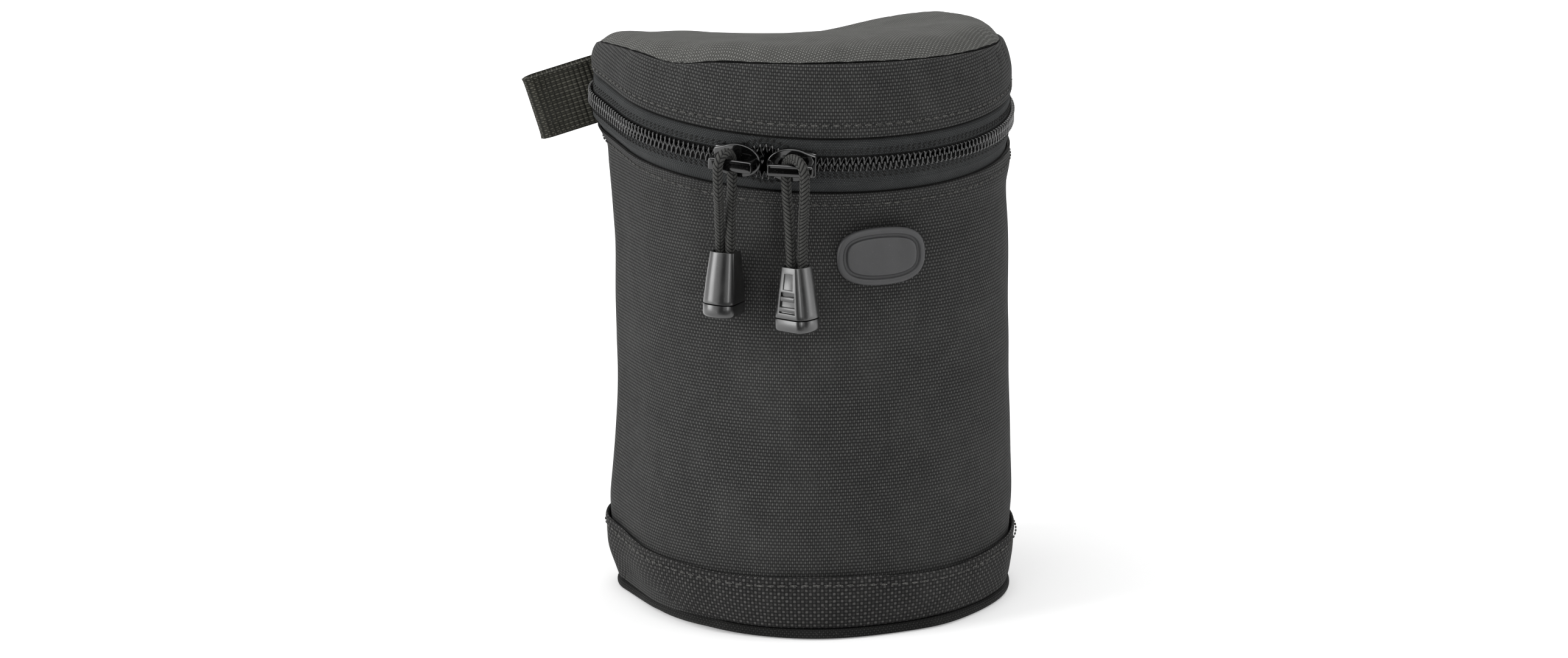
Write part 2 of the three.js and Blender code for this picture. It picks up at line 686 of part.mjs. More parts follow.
// Puts a slider-frame point in space. The slider's y is the distance from the arc's centre.
function sliderPlace(slider, along, outward, up) {
  const sine = Math.sin(slider.angle);
  const cosine = Math.cos(slider.angle);
  const x = outward * sine + slider.facing * along * cosine;
  const y = -outward * cosine + slider.facing * along * sine;
  return zip(up)(x, y);
}

function placeOnZipper(geometry, slider) {
  const position = geometry.attributes.position;
  const points = [];
  for (let i = 0; i < position.count; i++) {
    points.push(sliderPlace(slider, position.getX(i), position.getY(i), position.getZ(i)));
  }
  const triangles = [];
  for (let i = 0; i < geometry.index.count; i += 3) {
    triangles.push([geometry.index.getX(i), geometry.index.getX(i + 1), geometry.index.getX(i + 2)]);
  }
  return body(points, triangles);
}

// Where a pull's cord end hangs: the directions across and away from the case, and the directions of
// the cord end's own width and depth, which is turned about its axis
function tipFrame(slider) {
  const angle = slider.tipAngle;
  const away = new THREE.Vector3(Math.sin(angle), -Math.cos(angle), 0);
  const across = new THREE.Vector3(Math.cos(angle), Math.sin(angle), 0).multiplyScalar(slider.facing);
  const upright = new THREE.Vector3(0, 0, 1);
  const [wide, deep] = [across, away].map((v) => v.clone().applyAxisAngle(upright, slider.tipTurn));
  const top = away.clone().multiplyScalar(caseRadius + slider.tipStandOff)
    .setZ(zipperHeight - slider.tipDrop);
  return { across, away, wide, deep, top };
}

// The cord: up from the cord end, under the bridge, over it and down again
function pullPoints(slider) {
  const { across, top } = tipFrame(slider);
  const legGap = cordRadius + clearance / 2;
  const turnPoint = (turn, along) => sliderPlace(
    slider, along, bridgeAxis + cordLoopRadius * Math.cos(turn), cordLoopRadius * Math.sin(turn));
  const under = turnPoint(Math.PI, slider.cordUnder);
  const over = turnPoint(0, slider.cordOver);
  const leg = (end, side) => {
    const foot = top.clone().addScaledVector(across, side * legGap);
    foot.z -= socketDepth - clearance;
    const entry = foot.clone().setZ(top.z + cordRadius);
    const bend = entry.clone().lerp(end, cordBendShare);
    const drop = end.clone().setZ(end.z - 2 * cordLoopRadius).lerp(bend, cordDropShare);
    return [foot, entry, bend, drop];
  };
  const loop = Array.from({ length: cordLoopSteps + 1 }, (_, i) => {
    const share = i / cordLoopSteps;
    const eased = THREE.MathUtils.smoothstep(share, 0, 1);
    const along = THREE.MathUtils.lerp(slider.cordUnder, slider.cordOver, eased);
    return turnPoint(Math.PI * (1 - share), along);
  });
  return [...leg(under, -1), ...loop, ...leg(over, 1).reverse()];
}

function pullCord(slider) {
  const curve = new THREE.CatmullRomCurve3(pullPoints(slider), false, "centripetal");
  const section = new THREE.Shape(Array.from({ length: cordSides }, (_, i) => {
    const angle = 2 * Math.PI * i / cordSides;
    return new THREE.Vector2(cordRadius * Math.cos(angle), cordRadius * Math.sin(angle));
  }));
  const steps = Math.round(curve.getLength() / (cordStepShare * cordRadius));
  return new THREE.ExtrudeGeometry(section, { extrudePath: curve, steps, bevelEnabled: false });
}

// A cord end's section at one drop below its top
function tipSection(slider, drop, width, depth, power) {
  const { wide, deep, top } = tipFrame(slider);
  return superellipse(width, depth, power, tipSides).map((p) => top.clone()
    .addScaledVector(wide, p.x).addScaledVector(deep, p.y).add(new THREE.Vector3(0, 0, -drop)));
}

// A block in a cord end's own frame, centred across it, from one depth to another
function tipBlock(slider, width, near, far, low, high) {
  const { wide, deep, top } = tipFrame(slider);
  const corner = (x, y, z) => top.clone().addScaledVector(wide, x).addScaledVector(deep, y)
    .add(new THREE.Vector3(0, 0, z));
  const square = (z) => [corner(-width / 2, near, z), corner(width / 2, near, z),
    corner(width / 2, far, z), corner(-width / 2, far, z)];
  return toSolid(loft([square(low), square(high)]));
}

function buildTip(slider) {
  const sections = tipShares.map((share, i) => {
    const flared = (from, to) => THREE.MathUtils.lerp(from, to, tipFlareShares[i]);
    return tipSection(slider, share * tipLength, flared(tipTopWidth, tipWidth),
      flared(tipTopDepth, tipDepth), flared(tipTopPower, tipCornerPower));
  });
  let solid = toSolid(loft(sections));
  const { across, away, top } = tipFrame(slider);
  const socket = (drop) => superellipse(4 * cordRadius + clearance + 2 * socketMargin,
    2 * (cordRadius + socketMargin), tipCornerPower, tipSides).map((p) => top.clone()
    .addScaledVector(across, p.x).addScaledVector(away, p.y).add(new THREE.Vector3(0, 0, -drop)));
  solid = solid.subtract(toSolid(loft([socket(-overrun), socket(socketDepth)])));

  const faceAt = (drop) => THREE.MathUtils.lerp(tipTopDepth, tipDepth, drop / tipLength) / 2;
  const midFace = faceAt(windowDrop + windowHeight / 2);
  const windowTop = -windowDrop;
  const windowFloor = windowTop - windowHeight;
  const outside = tipDepth / 2 + overrun;
  let recess = tipBlock(slider, windowWidth, midFace - windowDepth, outside, windowFloor, windowTop);
  const pitch = windowHeight / ribCount;
  for (let i = 0; i < ribCount; i++) {
    const low = windowFloor + (pitch - ribHeight) / 2 + pitch * i;
    recess = recess.subtract(tipBlock(slider, windowWidth + overrun, midFace - windowDepth - overrun,
      outside + overrun, low, low + ribHeight));
  }
  return toGeometry(solid.subtract(recess));
}

function buildCap(slider) {
  const sections = capShares.map((share, i) => {
    const drop = tipLength + clearance + capLength * capRiseShares[i];
    return tipSection(slider, drop, tipWidth * share, tipDepth * share, tipCornerPower);
  });
  return loft(sections);
}

function buildSliders() {
  const slider = toGeometry(buildSlider());
  for (const [side, place] of [["left", leftSlider], ["right", rightSlider]]) {
    add(`${side}_slider`, placeOnZipper(slider, place), castMetal);
    add(`${side}_pull_cord`, pullCord(place), cordBraid);
    add(`${side}_cord_end`, buildTip(place), tipPlastic);
    add(`${side}_cord_cap`, buildCap(place), tipPlastic);
  }
}

// Badge: an oval patch bent to the case, with a raised rim, a groove for its stitches and a raised middle
function buildBadge() {
  const seat = caseRadius + clearance;
  const onCase = (p, level) => {
    const angle = badgeAngle + p.x / caseRadius;
    const radius = seat + level;
    const height = zipperHeight - badgeDrop + p.y;
    return new THREE.Vector3(radius * Math.sin(angle), -radius * Math.cos(angle), height);
  };
  const outline = (amount) => superellipse(
    badgeWidth - 2 * amount, badgeDepth - 2 * amount, badgePower, badgeSides);
  const front = badgeInsets.map((amount, i) => outline(amount).map(
    (p) => onCase(p, badgeThickness * badgeLevelShares[i])));
  const back = [outline(0).map((p) => onCase(p, 0))];
  const faceLevel = badgeThickness * badgeLevelShares.at(-1);
  const centre = new THREE.Vector2(0, 0);
  add("badge", sheet(front, onCase(centre, faceLevel), back, onCase(centre, 0)), badgeRubber);
}

// Belt loop: a wide strap sewn to the back at both ends, standing off it between them
function buildBeltLoop() {
  const seat = backDistance + clearance;
  const high = waistHigh - loopTopDrop;
  const low = high - loopHeight;
  const side = [
    [low, 0], [low + loopSewn, 0], [low + loopSewn + loopRamp, loopGap],
    [high - loopSewn - loopRamp, loopGap], [high - loopSewn, 0], [high, 0],
  ];
  const stations = [-1, 1].map((end) => end * loopWidth / 2);
  const strip = (stand) => side.map(([height, gap]) => stations.map(
    (x) => new THREE.Vector3(x, seat + gap + stand, height)));
  add("belt_loop", wall(strip(loopThickness), strip(0), false), webbing);
}

// Webbing tab: a folded length of webbing, standing out from the left back corner
function buildTab() {
  const { foot, normal } = cornerStation(-1, tabTurn);
  const root = zip(-tabDrop)(foot.x + tabStandOff * normal.x, foot.y + tabStandOff * normal.y);
  const level = new THREE.Vector3(Math.cos(tabHeading), Math.sin(tabHeading), 0);
  const along = level.clone().multiplyScalar(Math.cos(tabDroop)).setZ(-Math.sin(tabDroop));
  const across = level.clone().multiplyScalar(Math.sin(tabDroop)).setZ(Math.cos(tabDroop));
  const through = new THREE.Vector3().crossVectors(along, across);
  const half = tabGap / 2;
  const foldRadius = half + tabThickness;
  const straight = tabLength - foldRadius;
  const side = (radius) => {
    const points = [[0, radius], [straight, radius]];
    for (let i = 1; i < tabFoldFacets; i++) {
      const angle = Math.PI / 2 - Math.PI * i / tabFoldFacets;
      points.push([straight + radius * Math.cos(angle), radius * Math.sin(angle)]);
    }
    return [...points, [straight, -radius], [0, -radius]];
  };
  const upright = tabWidth / 2 * Math.tan(tabDroop);
  const strip = (radius) => side(radius).map(([run, stand]) => [-1, 1].map((edge) => root.clone()
    .addScaledVector(along, run || -edge * upright).addScaledVector(through, stand)
    .addScaledVector(across, edge * tabWidth / 2)));
  add("grab_tab", wall(strip(foldRadius), strip(half), false), webbing);
}

buildBase();
buildWalls();
buildZipper();
buildLid();
buildSliders();
buildBadge();
buildBeltLoop();
buildTab();

export default pouch;
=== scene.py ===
# The finished looks of a padded pouch for one camera lens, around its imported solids.
# Sizes are in millimetres, +Z up, front towards -Y, and turned into metres as each mesh is made.

import math

import bmesh
import bpy
import numpy as np
from mathutils import Matrix, Vector


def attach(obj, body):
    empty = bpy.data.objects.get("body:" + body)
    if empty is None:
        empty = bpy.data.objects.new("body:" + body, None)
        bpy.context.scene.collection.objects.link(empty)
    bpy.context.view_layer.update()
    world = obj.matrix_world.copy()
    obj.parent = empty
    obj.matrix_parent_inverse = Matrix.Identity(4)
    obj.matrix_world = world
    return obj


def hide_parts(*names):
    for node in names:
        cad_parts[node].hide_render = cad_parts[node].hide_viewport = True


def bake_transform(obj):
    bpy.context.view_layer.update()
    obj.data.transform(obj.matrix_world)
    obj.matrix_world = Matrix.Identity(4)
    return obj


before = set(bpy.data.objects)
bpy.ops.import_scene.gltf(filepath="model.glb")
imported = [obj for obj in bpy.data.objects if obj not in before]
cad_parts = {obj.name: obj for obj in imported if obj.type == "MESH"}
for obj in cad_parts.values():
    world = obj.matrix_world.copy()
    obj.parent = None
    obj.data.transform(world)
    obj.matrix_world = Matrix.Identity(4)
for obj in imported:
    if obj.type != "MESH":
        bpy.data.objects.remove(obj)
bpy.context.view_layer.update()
bpy.ops.object.select_all(action="DESELECT")

MM = 0.001

# Case outline and zipper plane, as in the solids
CASE_RADIUS = 57.6
BACK_DISTANCE = 43.6
CORNER_RADIUS = 22.7
ZIPPER_HEIGHT = 152
ZIPPER_TILT = math.radians(6.62)
TILT_SINE, TILT_COSINE = math.sin(ZIPPER_TILT), math.cos(ZIPPER_TILT)
CLEARANCE = 0.3
CROWN_SHIFT = -2.8
FOOT_SHIFT, FOOT_SPREAD, FOOT_RISE, WAIST_LOW = -1.4, 2.1, 30, 68
LID_CROWN = 2
LID_EDGE = 7.9
COIL_OUTER, COIL_PITCH = 4.6, 1.8
OPEN_SPREAD, OPEN_REACH = 3.3, 10.5
ZIPPER_RADIUS = CASE_RADIUS + COIL_OUTER

# Soft shape of the lid: the seam round its top, the sag at its back and the swell of its top cloth
SEAM_RISE, SEAM_FALL, SEAM_LEAN, SEAM_TWIST = 20.5, 0.029, 0.02, 1.1
SEAM_SAG, SAG_CENTRE, SAG_LEFT, SAG_RIGHT = 5.2, 20, 48, 24
BACK_SAG = 4.6
SWELL, SWELL_LEAN, SWELL_CORNERS, SWELL_FRONT = 2.7, 0.5, 1.2, 1.9
ROLL, CORNER_ROLL = 3.9, 1.5

# Lengths round the plan: the front arc, a straight side, a back corner, half the outline
ARC = CASE_RADIUS * math.pi / 2
SIDE = BACK_DISTANCE - CORNER_RADIUS
CORNER = CORNER_RADIUS * math.pi / 2
HALF_ROUND = ARC + SIDE + CORNER + CASE_RADIUS - CORNER_RADIUS
ZIPPER_END = ARC + SIDE + CORNER / 2
PANEL_END = ARC + SIDE + CORNER

CLOTH, THIN_CLOTH = 0.8, 0.6

LEFT = {
    "angle": math.radians(-41.6), "facing": -1, "under": 0.9, "over": 2.6,
    "tip_angle": math.radians(-47.3), "stand_off": 7.6, "drop": 32.5, "turn": math.radians(-90),
    "lean": math.radians(2.4),
}
RIGHT = {
    "angle": math.radians(-27), "facing": 1, "under": -1.3, "over": 4.6,
    "tip_angle": math.radians(-28), "stand_off": 9.8, "drop": 35.6, "turn": math.radians(-33),
    "lean": 0.0,
}
OPEN_CENTRE = (LEFT["angle"] + RIGHT["angle"]) / 2
CORD_RADIUS = 1.5
BRIDGE_AXIS = 69.0
CORD_LOOP = 3.5


def ease(value, low, high):
    share = np.clip((value - low) / (high - low), 0, 1)
    return share * share * (3 - 2 * share)


def hump(value, centre, width):
    return np.exp(-((value - centre) / width) ** 2)


def unit(vectors):
    return vectors / np.linalg.norm(vectors, axis=-1, keepdims=True)


# Places on the plan outline, by their run in mm from the front centre, positive to the right
def station(run):
    run = np.asarray(run, float)
    side = np.where(run < 0, -1.0, 1.0)
    far = np.abs(run)
    bearing = np.minimum(far, ARC) / CASE_RADIUS
    turn = np.clip((far - ARC - SIDE) / CORNER_RADIUS, 0, math.pi / 2)
    beside = far > ARC
    normal = np.stack([
        np.where(beside, side * np.cos(turn), side * np.sin(bearing)),
        np.where(beside, np.sin(turn), -np.cos(bearing)),
    ], axis=-1)
    straight = np.clip(far - ARC, 0, SIDE)
    inward = np.maximum(far - ARC - SIDE - CORNER, 0)
    foot_x = np.where(beside, side * (CASE_RADIUS - CORNER_RADIUS * (1 - np.cos(turn)) - inward),
                      side * CASE_RADIUS * np.sin(bearing))
    foot_y = np.where(beside, straight + CORNER_RADIUS * np.sin(turn), -CASE_RADIUS * np.cos(bearing))
    return np.stack([foot_x, foot_y], axis=-1), normal


def outward_at(run):
    normal = station(run)[1]
    return np.concatenate([normal, np.zeros((len(normal), 1))], axis=1)


# Levels turn a plan point into a place in space
def as_drawn(x, y):
    return np.stack([x, y, 0 * x], axis=-1)


def flat(height, slope=0.0):
    """A level of the case, which stands wider and further left at its foot."""
    foot = min(max((WAIST_LOW - height) / (WAIST_LOW - FOOT_RISE), 0), 1)
    stretch = 1 + foot * FOOT_SPREAD / CASE_RADIUS
    return lambda x, y: np.stack([x * stretch + foot * FOOT_SHIFT, y, height + slope * y], axis=-1)


def foot_level(height, hem=0.0, lift=0.0):
    """A level of the foot, with its share of the hem's dips and of the corner lifted off the floor."""
    base = flat(height, 0.02 * hem)

    def place(x, y):
        dip = (1 - ease(y, -35, -5)) * (1.9 * hump(x, 16, 22) + 0.9 * hump(x, -42, 12))
        rise = 0.06 * np.maximum(y + 10, 0) * ease(-x, 5, 50)
        corner = 1.5 * hump(x, -50, 16) * hump(y, -22, 20)
        spot = base(x, y)
        spot[..., 2] += hem * (rise - dip) + lift * corner
        return spot
    return place


def zip_level(rise):
    """A level beside the tilted zipper, which with all above it stands left of the waist."""
    shift = CROWN_SHIFT * np.clip((rise + 15) / 9.2, 0, 1)
    return lambda x, y: np.stack([
        x + shift, y * TILT_COSINE - rise * TILT_SINE,
        ZIPPER_HEIGHT + y * TILT_SINE + rise * TILT_COSINE + 0 * x], axis=-1)


def zip_spread(rise, share):
    """A level beside the zipper that moves off it where the coils stand apart."""
    def place(x, y):
        run = np.where(y <= 0, np.arctan2(x, -y) * CASE_RADIUS, ARC * 2)
        return zip_level(rise + math.copysign(1, rise) * share * spread_at(run))(x, y)
    return place


def lid_level(rise):
    """A level of the lid's lower edge, which sags with the lid at the back."""
    level = zip_level(rise)

    def place(x, y):
        spot = level(x, y)
        spot[..., 2] -= BACK_SAG * hump(x, 10, 32) * ease(y, 10, 40)
        return spot
    return place


def seam_height(x, y):
    """How high the seam between the lid's band and its top lies, and the hollow that it spans."""
    drop = SEAM_TWIST * (1 - x / CASE_RADIUS) * (np.maximum(y, 0) / BACK_DISTANCE) ** 2
    hollow = SEAM_SAG * hump(x, SAG_CENTRE, np.where(x < SAG_CENTRE, SAG_LEFT, SAG_RIGHT)) * ease(y, -25, 20)
    pulled_down = 1.7 * hump(x, -52.5, 9) * hump(y, -24, 12)
    return ZIPPER_HEIGHT + SEAM_RISE - SEAM_FALL * y - SEAM_LEAN * x - drop - hollow - pulled_down


def seam(rise):
    return lambda x, y: np.stack([x + CROWN_SHIFT, y, seam_height(x, y) + rise], axis=-1)


def between(low, high, share):
    return lambda x, y: low(x, y) * (1 - share) + high(x, y) * share


def lid_side(share):
    """A level of the lid's band, from its lower edge at 0 to the seam at 1."""
    return between(lid_level(LID_EDGE), seam(0), share)


def rows_at(level, *rows):
    """Rows of a cloth's table: the offset of each, and the level that its numbers give."""
    return [(offset, level(*numbers)) for offset, *numbers in rows]


def ring(run, offset, level):
    foot, normal = station(run)
    place = foot + np.asarray(offset)[..., None] * normal
    return level(place[..., 0], place[..., 1])


def rings(run, table):
    return np.stack([ring(run, offset, level) for offset, level in table])


def shrunk(edge, share):
    return edge[:, 0] * share, edge[:, 1] * share


def round_runs(count):
    return np.linspace(-HALF_ROUND, HALF_ROUND, count + 1)


def back_runs(start, count):
    """Runs from start on the right round the back to its mate on the left, and where each lies."""
    runs = np.linspace(start, 2 * HALF_ROUND - start, count)
    return runs, np.where(runs > HALF_ROUND, runs - 2 * HALF_ROUND, runs)


def through(points, count):
    """Rows evenly spread along a smooth curve through the given rows."""
    rows = np.asarray(points, float)
    rows = np.concatenate([[2 * rows[0] - rows[1]], rows, [2 * rows[-1] - rows[-2]]])

    def gap(a, b):
        return max(float(np.linalg.norm(b - a, axis=-1).mean()), 1e-6) ** 0.5

    def part(first, last, low, t, high):
        return (high - t) / (high - low) * first + (t - low) / (high - low) * last

    fine = []
    for a, b, c, d in zip(rows[:-3], rows[1:-2], rows[2:-1], rows[3:]):
        tb = gap(a, b)
        tc = tb + gap(b, c)
        td = tc + gap(c, d)
        for t in np.linspace(tb, tc, 16, endpoint=False):
            a1, a2, a3 = part(a, b, 0, t, tb), part(b, c, tb, t, tc), part(c, d, tc, t, td)
            fine.append(part(part(a1, a2, 0, t, tc), part(a2, a3, tb, t, td), tb, t, tc))
    fine.append(rows[-2])
    fine = np.array(fine)
    steps = np.linalg.norm(np.diff(fine, axis=0), axis=-1)
    steps = steps.reshape(len(steps), -1).mean(axis=1)
    along = np.concatenate([[0], np.cumsum(steps)])
    at = np.linspace(0, along[-1], count)
    index = np.clip(np.searchsorted(along, at, side="right") - 1, 0, len(steps) - 1)
    share = (at - along[index]) / np.maximum(steps[index], 1e-9)
    share = share.reshape((-1,) + (1,) * (fine.ndim - 1))
    return fine[index] * (1 - share) + fine[index + 1] * share


def climbed(grid):
    """How far up the cloth each point of a grid lies."""
    steps = np.linalg.norm(np.diff(grid, axis=0), axis=-1)
    return np.concatenate([np.zeros((1, grid.shape[1])), np.cumsum(steps, axis=0)])


def waves(run, height, seed, count=7, longest=120.0, upright=60.0):
    """Soft uneven rise and fall over a cloth, from -1 to 1, which closes on itself round the plan."""
    maker = np.random.default_rng(seed)
    total = 0
    for _ in range(count):
        laps = maker.integers(2, max(3, int(4 * HALF_ROUND / longest)))
        slope = maker.uniform(-1, 1) * 2 * math.pi / upright
        phase = maker.uniform(0, 2 * math.pi)
        total = total + np.sin(laps * math.pi * run / HALF_ROUND + slope * height + phase)
    return total / count ** 0.5 / 1.4


def puckers(run, seed, spacing=8.0):
    """Short pinches along a seam, from 0 to 1, which close on themselves round the plan."""
    maker = np.random.default_rng(seed)
    total = np.zeros_like(np.asarray(run, float))
    for i in range(int(2 * HALF_ROUND / spacing)):
        centre = -HALF_ROUND + (i + maker.uniform(0.2, 0.8)) * spacing
        wide, deep = maker.uniform(0.7, 1.8), maker.uniform(0.3, 1)
        apart = np.abs(run - centre)
        total = total + deep * hump(np.minimum(apart, 2 * HALF_ROUND - apart), 0, wide)
    for centre in (-71, -67, -62.5, -58):
        total = total + 1.3 * hump(run, centre, 1.4)
    return total


# Mesh making
def as_object(name, data):
    made = bpy.data.objects.new(name, data)
    bpy.context.scene.collection.objects.link(made)
    return made


def mesh_of(name, points, faces):
    mesh = bpy.data.meshes.new(name)
    mesh.from_pydata((points * MM).tolist(), [], faces)
    return mesh


def grid_object(name, grid, across, upward, closed=False):
    """A sheet from rows of points in mm. across and upward are its pattern's coordinates in mm."""
    rows, columns = grid.shape[:2]
    wide = columns if closed else columns - 1
    row, column = np.meshgrid(np.arange(rows - 1), np.arange(wide), indexing="ij")
    row, column = row.ravel(), column.ravel()
    beyond = (column + 1) % columns
    faces = np.stack([row * columns + column, row * columns + beyond,
                      (row + 1) * columns + beyond, (row + 1) * columns + column], axis=1)
    mesh = mesh_of(name, grid.reshape(-1, 3), faces.tolist())
    across = np.broadcast_to(across, (rows, wide + 1))
    if closed:
        upward = np.concatenate([upward, upward[:, :1]], axis=1)
    pattern = np.stack([across, upward], axis=-1) * MM
    corners = [(row, column), (row, column + 1), (row + 1, column + 1), (row + 1, column)]
    loops = np.stack([pattern[r, c] for r, c in corners], axis=1)
    mesh.uv_layers.new(name="UVMap").data.foreach_set("uv", loops.ravel())
    mesh.validate()
    return as_object(name, mesh)


def choose(obj, *others):
    bpy.ops.object.select_all(action="DESELECT")
    for each in (obj, *others):
        each.select_set(True)
    bpy.context.view_layer.objects.active = obj


def take_all():
    bpy.ops.mesh.select_all(action="SELECT")


def start_edit(obj):
    choose(obj)
    bpy.ops.object.mode_set(mode="EDIT")


def end_edit():
    take_all()
    bpy.ops.mesh.normals_make_consistent(inside=False)
    bpy.ops.object.mode_set(mode="OBJECT")


def close_ends(obj, merge=True):
    start_edit(obj)
    bpy.ops.mesh.select_all(action="DESELECT")
    bpy.ops.mesh.select_non_manifold()
    bpy.ops.mesh.fill_holes(sides=0)
    if merge:
        take_all()
        bpy.ops.mesh.remove_doubles(threshold=1e-7)
    end_edit()


def close_middle(obj, count):
    """Closes a sheet over the loop of its last row."""
    sheet = bmesh.new()
    sheet.from_mesh(obj.data)
    sheet.verts.ensure_lookup_table()
    sheet.faces.new(sheet.verts[-count:])
    sheet.to_mesh(obj.data)
    sheet.free()


def apply_modifier(obj, kind, **settings):
    choose(obj)
    modifier = obj.modifiers.new(kind.lower(), kind)
    for key, value in settings.items():
        setattr(modifier, key, value)
    bpy.ops.object.modifier_apply(modifier=modifier.name)


def thicken(obj, thickness):
    apply_modifier(obj, "SOLIDIFY", thickness=thickness * MM, offset=-1)


def soften(obj, width, segments, angle=None):
    """Bevels every edge, or only those sharper than an angle in degrees."""
    limit = {"limit_method": "ANGLE", "angle_limit": math.radians(angle)} if angle else {}
    apply_modifier(obj, "BEVEL", width=width, segments=segments, **limit)


def dress(obj, material, slot, body, *nodes, smooth_angle=50):
    """Gives a finished mesh its material and body, and hides the solids that it stands for.

    It is smoothed where it turns by less than the angle in degrees, or all over if that is 0.
    """
    obj.data.materials.clear()
    obj.data.materials.append(material)
    if smooth_angle:
        choose(obj)
        bpy.ops.object.shade_smooth_by_angle(angle=math.radians(smooth_angle))
        bpy.ops.object.select_all(action="DESELECT")
    else:
        obj.data.shade_smooth()
    if body:
        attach(obj, body)
    if nodes:
        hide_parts(*nodes)


def round_shell(name, table, rows, columns, ends=None, shape=None, thickness=None):
    """A cloth that runs round the plan: table lists (offset, level) from its lower edge up."""
    closed = ends is None
    runs = round_runs(columns) if closed else np.linspace(*ends, columns + 1)
    kept = runs[:-1] if closed else runs
    grid = through(rings(kept, table), rows)
    rise = climbed(grid)
    if shape:
        grid = grid + shape(kept[None, :], rise)[..., None] * outward_at(kept)[None]
    made = grid_object(name, grid, runs, rise, closed)
    if thickness:
        thicken(made, thickness)
    return made


# Stitches: one thread's float is modelled once and copied along each seam
def thread_float():
    bpy.ops.mesh.primitive_uv_sphere_add(segments=6, ring_count=6, radius=0.5)
    made = bpy.context.active_object
    bpy.ops.object.mode_set(mode="EDIT")
    take_all()
    bpy.ops.transform.rotate(value=math.pi / 2, orient_axis="Y", center_override=(0, 0, 0))
    bpy.ops.object.mode_set(mode="OBJECT")
    points = np.array([v.co for v in made.data.vertices])
    faces = [tuple(p.vertices) for p in made.data.polygons]
    bpy.data.objects.remove(made)
    return points, faces


FLOAT_POINTS, FLOAT_FACES = thread_float()


def sewn(name, lines, length, thickness):
    """Copies the thread's float along lines of (place, along, outward), all in mm."""
    points, faces = [], []
    for place, along, outward in lines:
        across = np.cross(outward, along)
        for p, a, o, c in zip(place, along, outward, across):
            start = len(points) * len(FLOAT_POINTS)
            points.append(p + FLOAT_POINTS[:, :1] * a * length
                          + FLOAT_POINTS[:, 1:2] * c * thickness + FLOAT_POINTS[:, 2:] * o * thickness)
            faces += [tuple(i + start for i in face) for face in FLOAT_FACES]
    made = as_object(name, mesh_of(name, np.concatenate(points), faces))
    start_edit(made)
    end_edit()
    return made


def seam_line(start, end, offset, level, pitch, slant=0.0):
    """Places for the floats of a seam that runs round the plan."""
    count = int(abs(end - start) / pitch)
    runs = start + (np.arange(count) + 0.5) * (end - start) / count
    place = ring(runs, offset, level)
    along = unit(ring(runs + 0.2, offset, level) - ring(runs - 0.2, offset, level))
    outward = outward_at(runs)
    if slant:
        along = unit(along * math.cos(slant) - np.cross(outward, along) * math.sin(slant))
    return place, along, outward


# Shader building
def ink(red, green, blue):
    """A colour as it is seen, from 0 to 255, as the shader wants it."""
    parts = [c / 255 for c in (red, green, blue)]
    return (*[c / 12.92 if c <= 0.04045 else ((c + 0.055) / 1.055) ** 2.4 for c in parts], 1)


def feed(tree, node, inputs):
    """Links or sets inputs of a node."""
    for key, value in inputs.items():
        if isinstance(value, bpy.types.NodeSocket):
            tree.links.new(value, node.inputs[key])
        else:
            node.inputs[key].default_value = value


def put(tree, kind, inputs, **settings):
    made = tree.nodes.new(kind)
    for key, value in settings.items():
        setattr(made, key, value)
    feed(tree, made, inputs)
    return made


def calc(tree, operation, first, second=0.0):
    return put(tree, "ShaderNodeMath", {0: first, 1: second, 2: 0.0}, operation=operation).outputs[0]


def ramp(tree, value, low, high, to_low=0.0, to_high=1.0):
    return put(tree, "ShaderNodeMapRange", {"Value": value, "From Min": low, "From Max": high,
                                           "To Min": to_low, "To Max": to_high},
               interpolation_type="SMOOTHSTEP").outputs["Result"]


def mix(tree, share, first, second):
    return put(tree, "ShaderNodeMix", {0: share, 6: first, 7: second}, data_type="RGBA").outputs[2]


def tint(tree, mask, share, first, second):
    return mix(tree, calc(tree, "MULTIPLY", mask, share), first, second)


def group(name, takes, gives):
    tree = bpy.data.node_groups.new(name, "ShaderNodeTree")
    takes = [("Vector", None), *takes]
    for label, value in takes:
        kind = "NodeSocketVector" if value is None else "NodeSocketFloat"
        socket = tree.interface.new_socket(name=label, in_out="INPUT", socket_type=kind)
        if value is not None:
            socket.default_value = value
    for label in gives:
        tree.interface.new_socket(name=label, in_out="OUTPUT", socket_type="NodeSocketFloat")
    return tree, tree.nodes.new("NodeGroupInput").outputs, tree.nodes.new("NodeGroupOutput")


def noise(tree, vector, scale, detail=3.0, roughness=0.5):
    return put(tree, "ShaderNodeTexNoise", {"Vector": vector, "Scale": scale, "Detail": detail,
                                            "Roughness": roughness}).outputs["Fac"]


def weave_group():
    """Threads that cross over and under: Warp shows upright floats, Weft level ones."""
    tree, take, give = group("Woven threads", [("Across", 0.0006), ("Up", 0.001), ("Waver", 0.25)],
                             ["Warp", "Weft", "Height", "Tone"])
    vector = take["Vector"]
    parts = put(tree, "ShaderNodeSeparateXYZ", {0: vector})
    drift = calc(tree, "SUBTRACT", noise(tree, vector, 900.0, 1.0), 0.5)
    shift = calc(tree, "MULTIPLY", drift, take["Waver"])
    sines = []
    for part, size in (("X", "Across"), ("Y", "Up")):
        turns = calc(tree, "ADD", calc(tree, "DIVIDE", parts.outputs[part], take[size]), shift)
        sines.append(calc(tree, "SINE", calc(tree, "MULTIPLY", turns, math.pi)))
    crossing = calc(tree, "MULTIPLY", *sines)
    warp = ramp(tree, crossing, 0.05, 0.8)
    weft = ramp(tree, crossing, -0.05, -0.8)
    height = calc(tree, "MAXIMUM", warp, calc(tree, "MULTIPLY", weft, 0.7))
    feed(tree, give, {"Warp": warp, "Weft": weft, "Height": height,
                      "Tone": noise(tree, vector, 160.0, 4.0, 0.6)})
    return tree


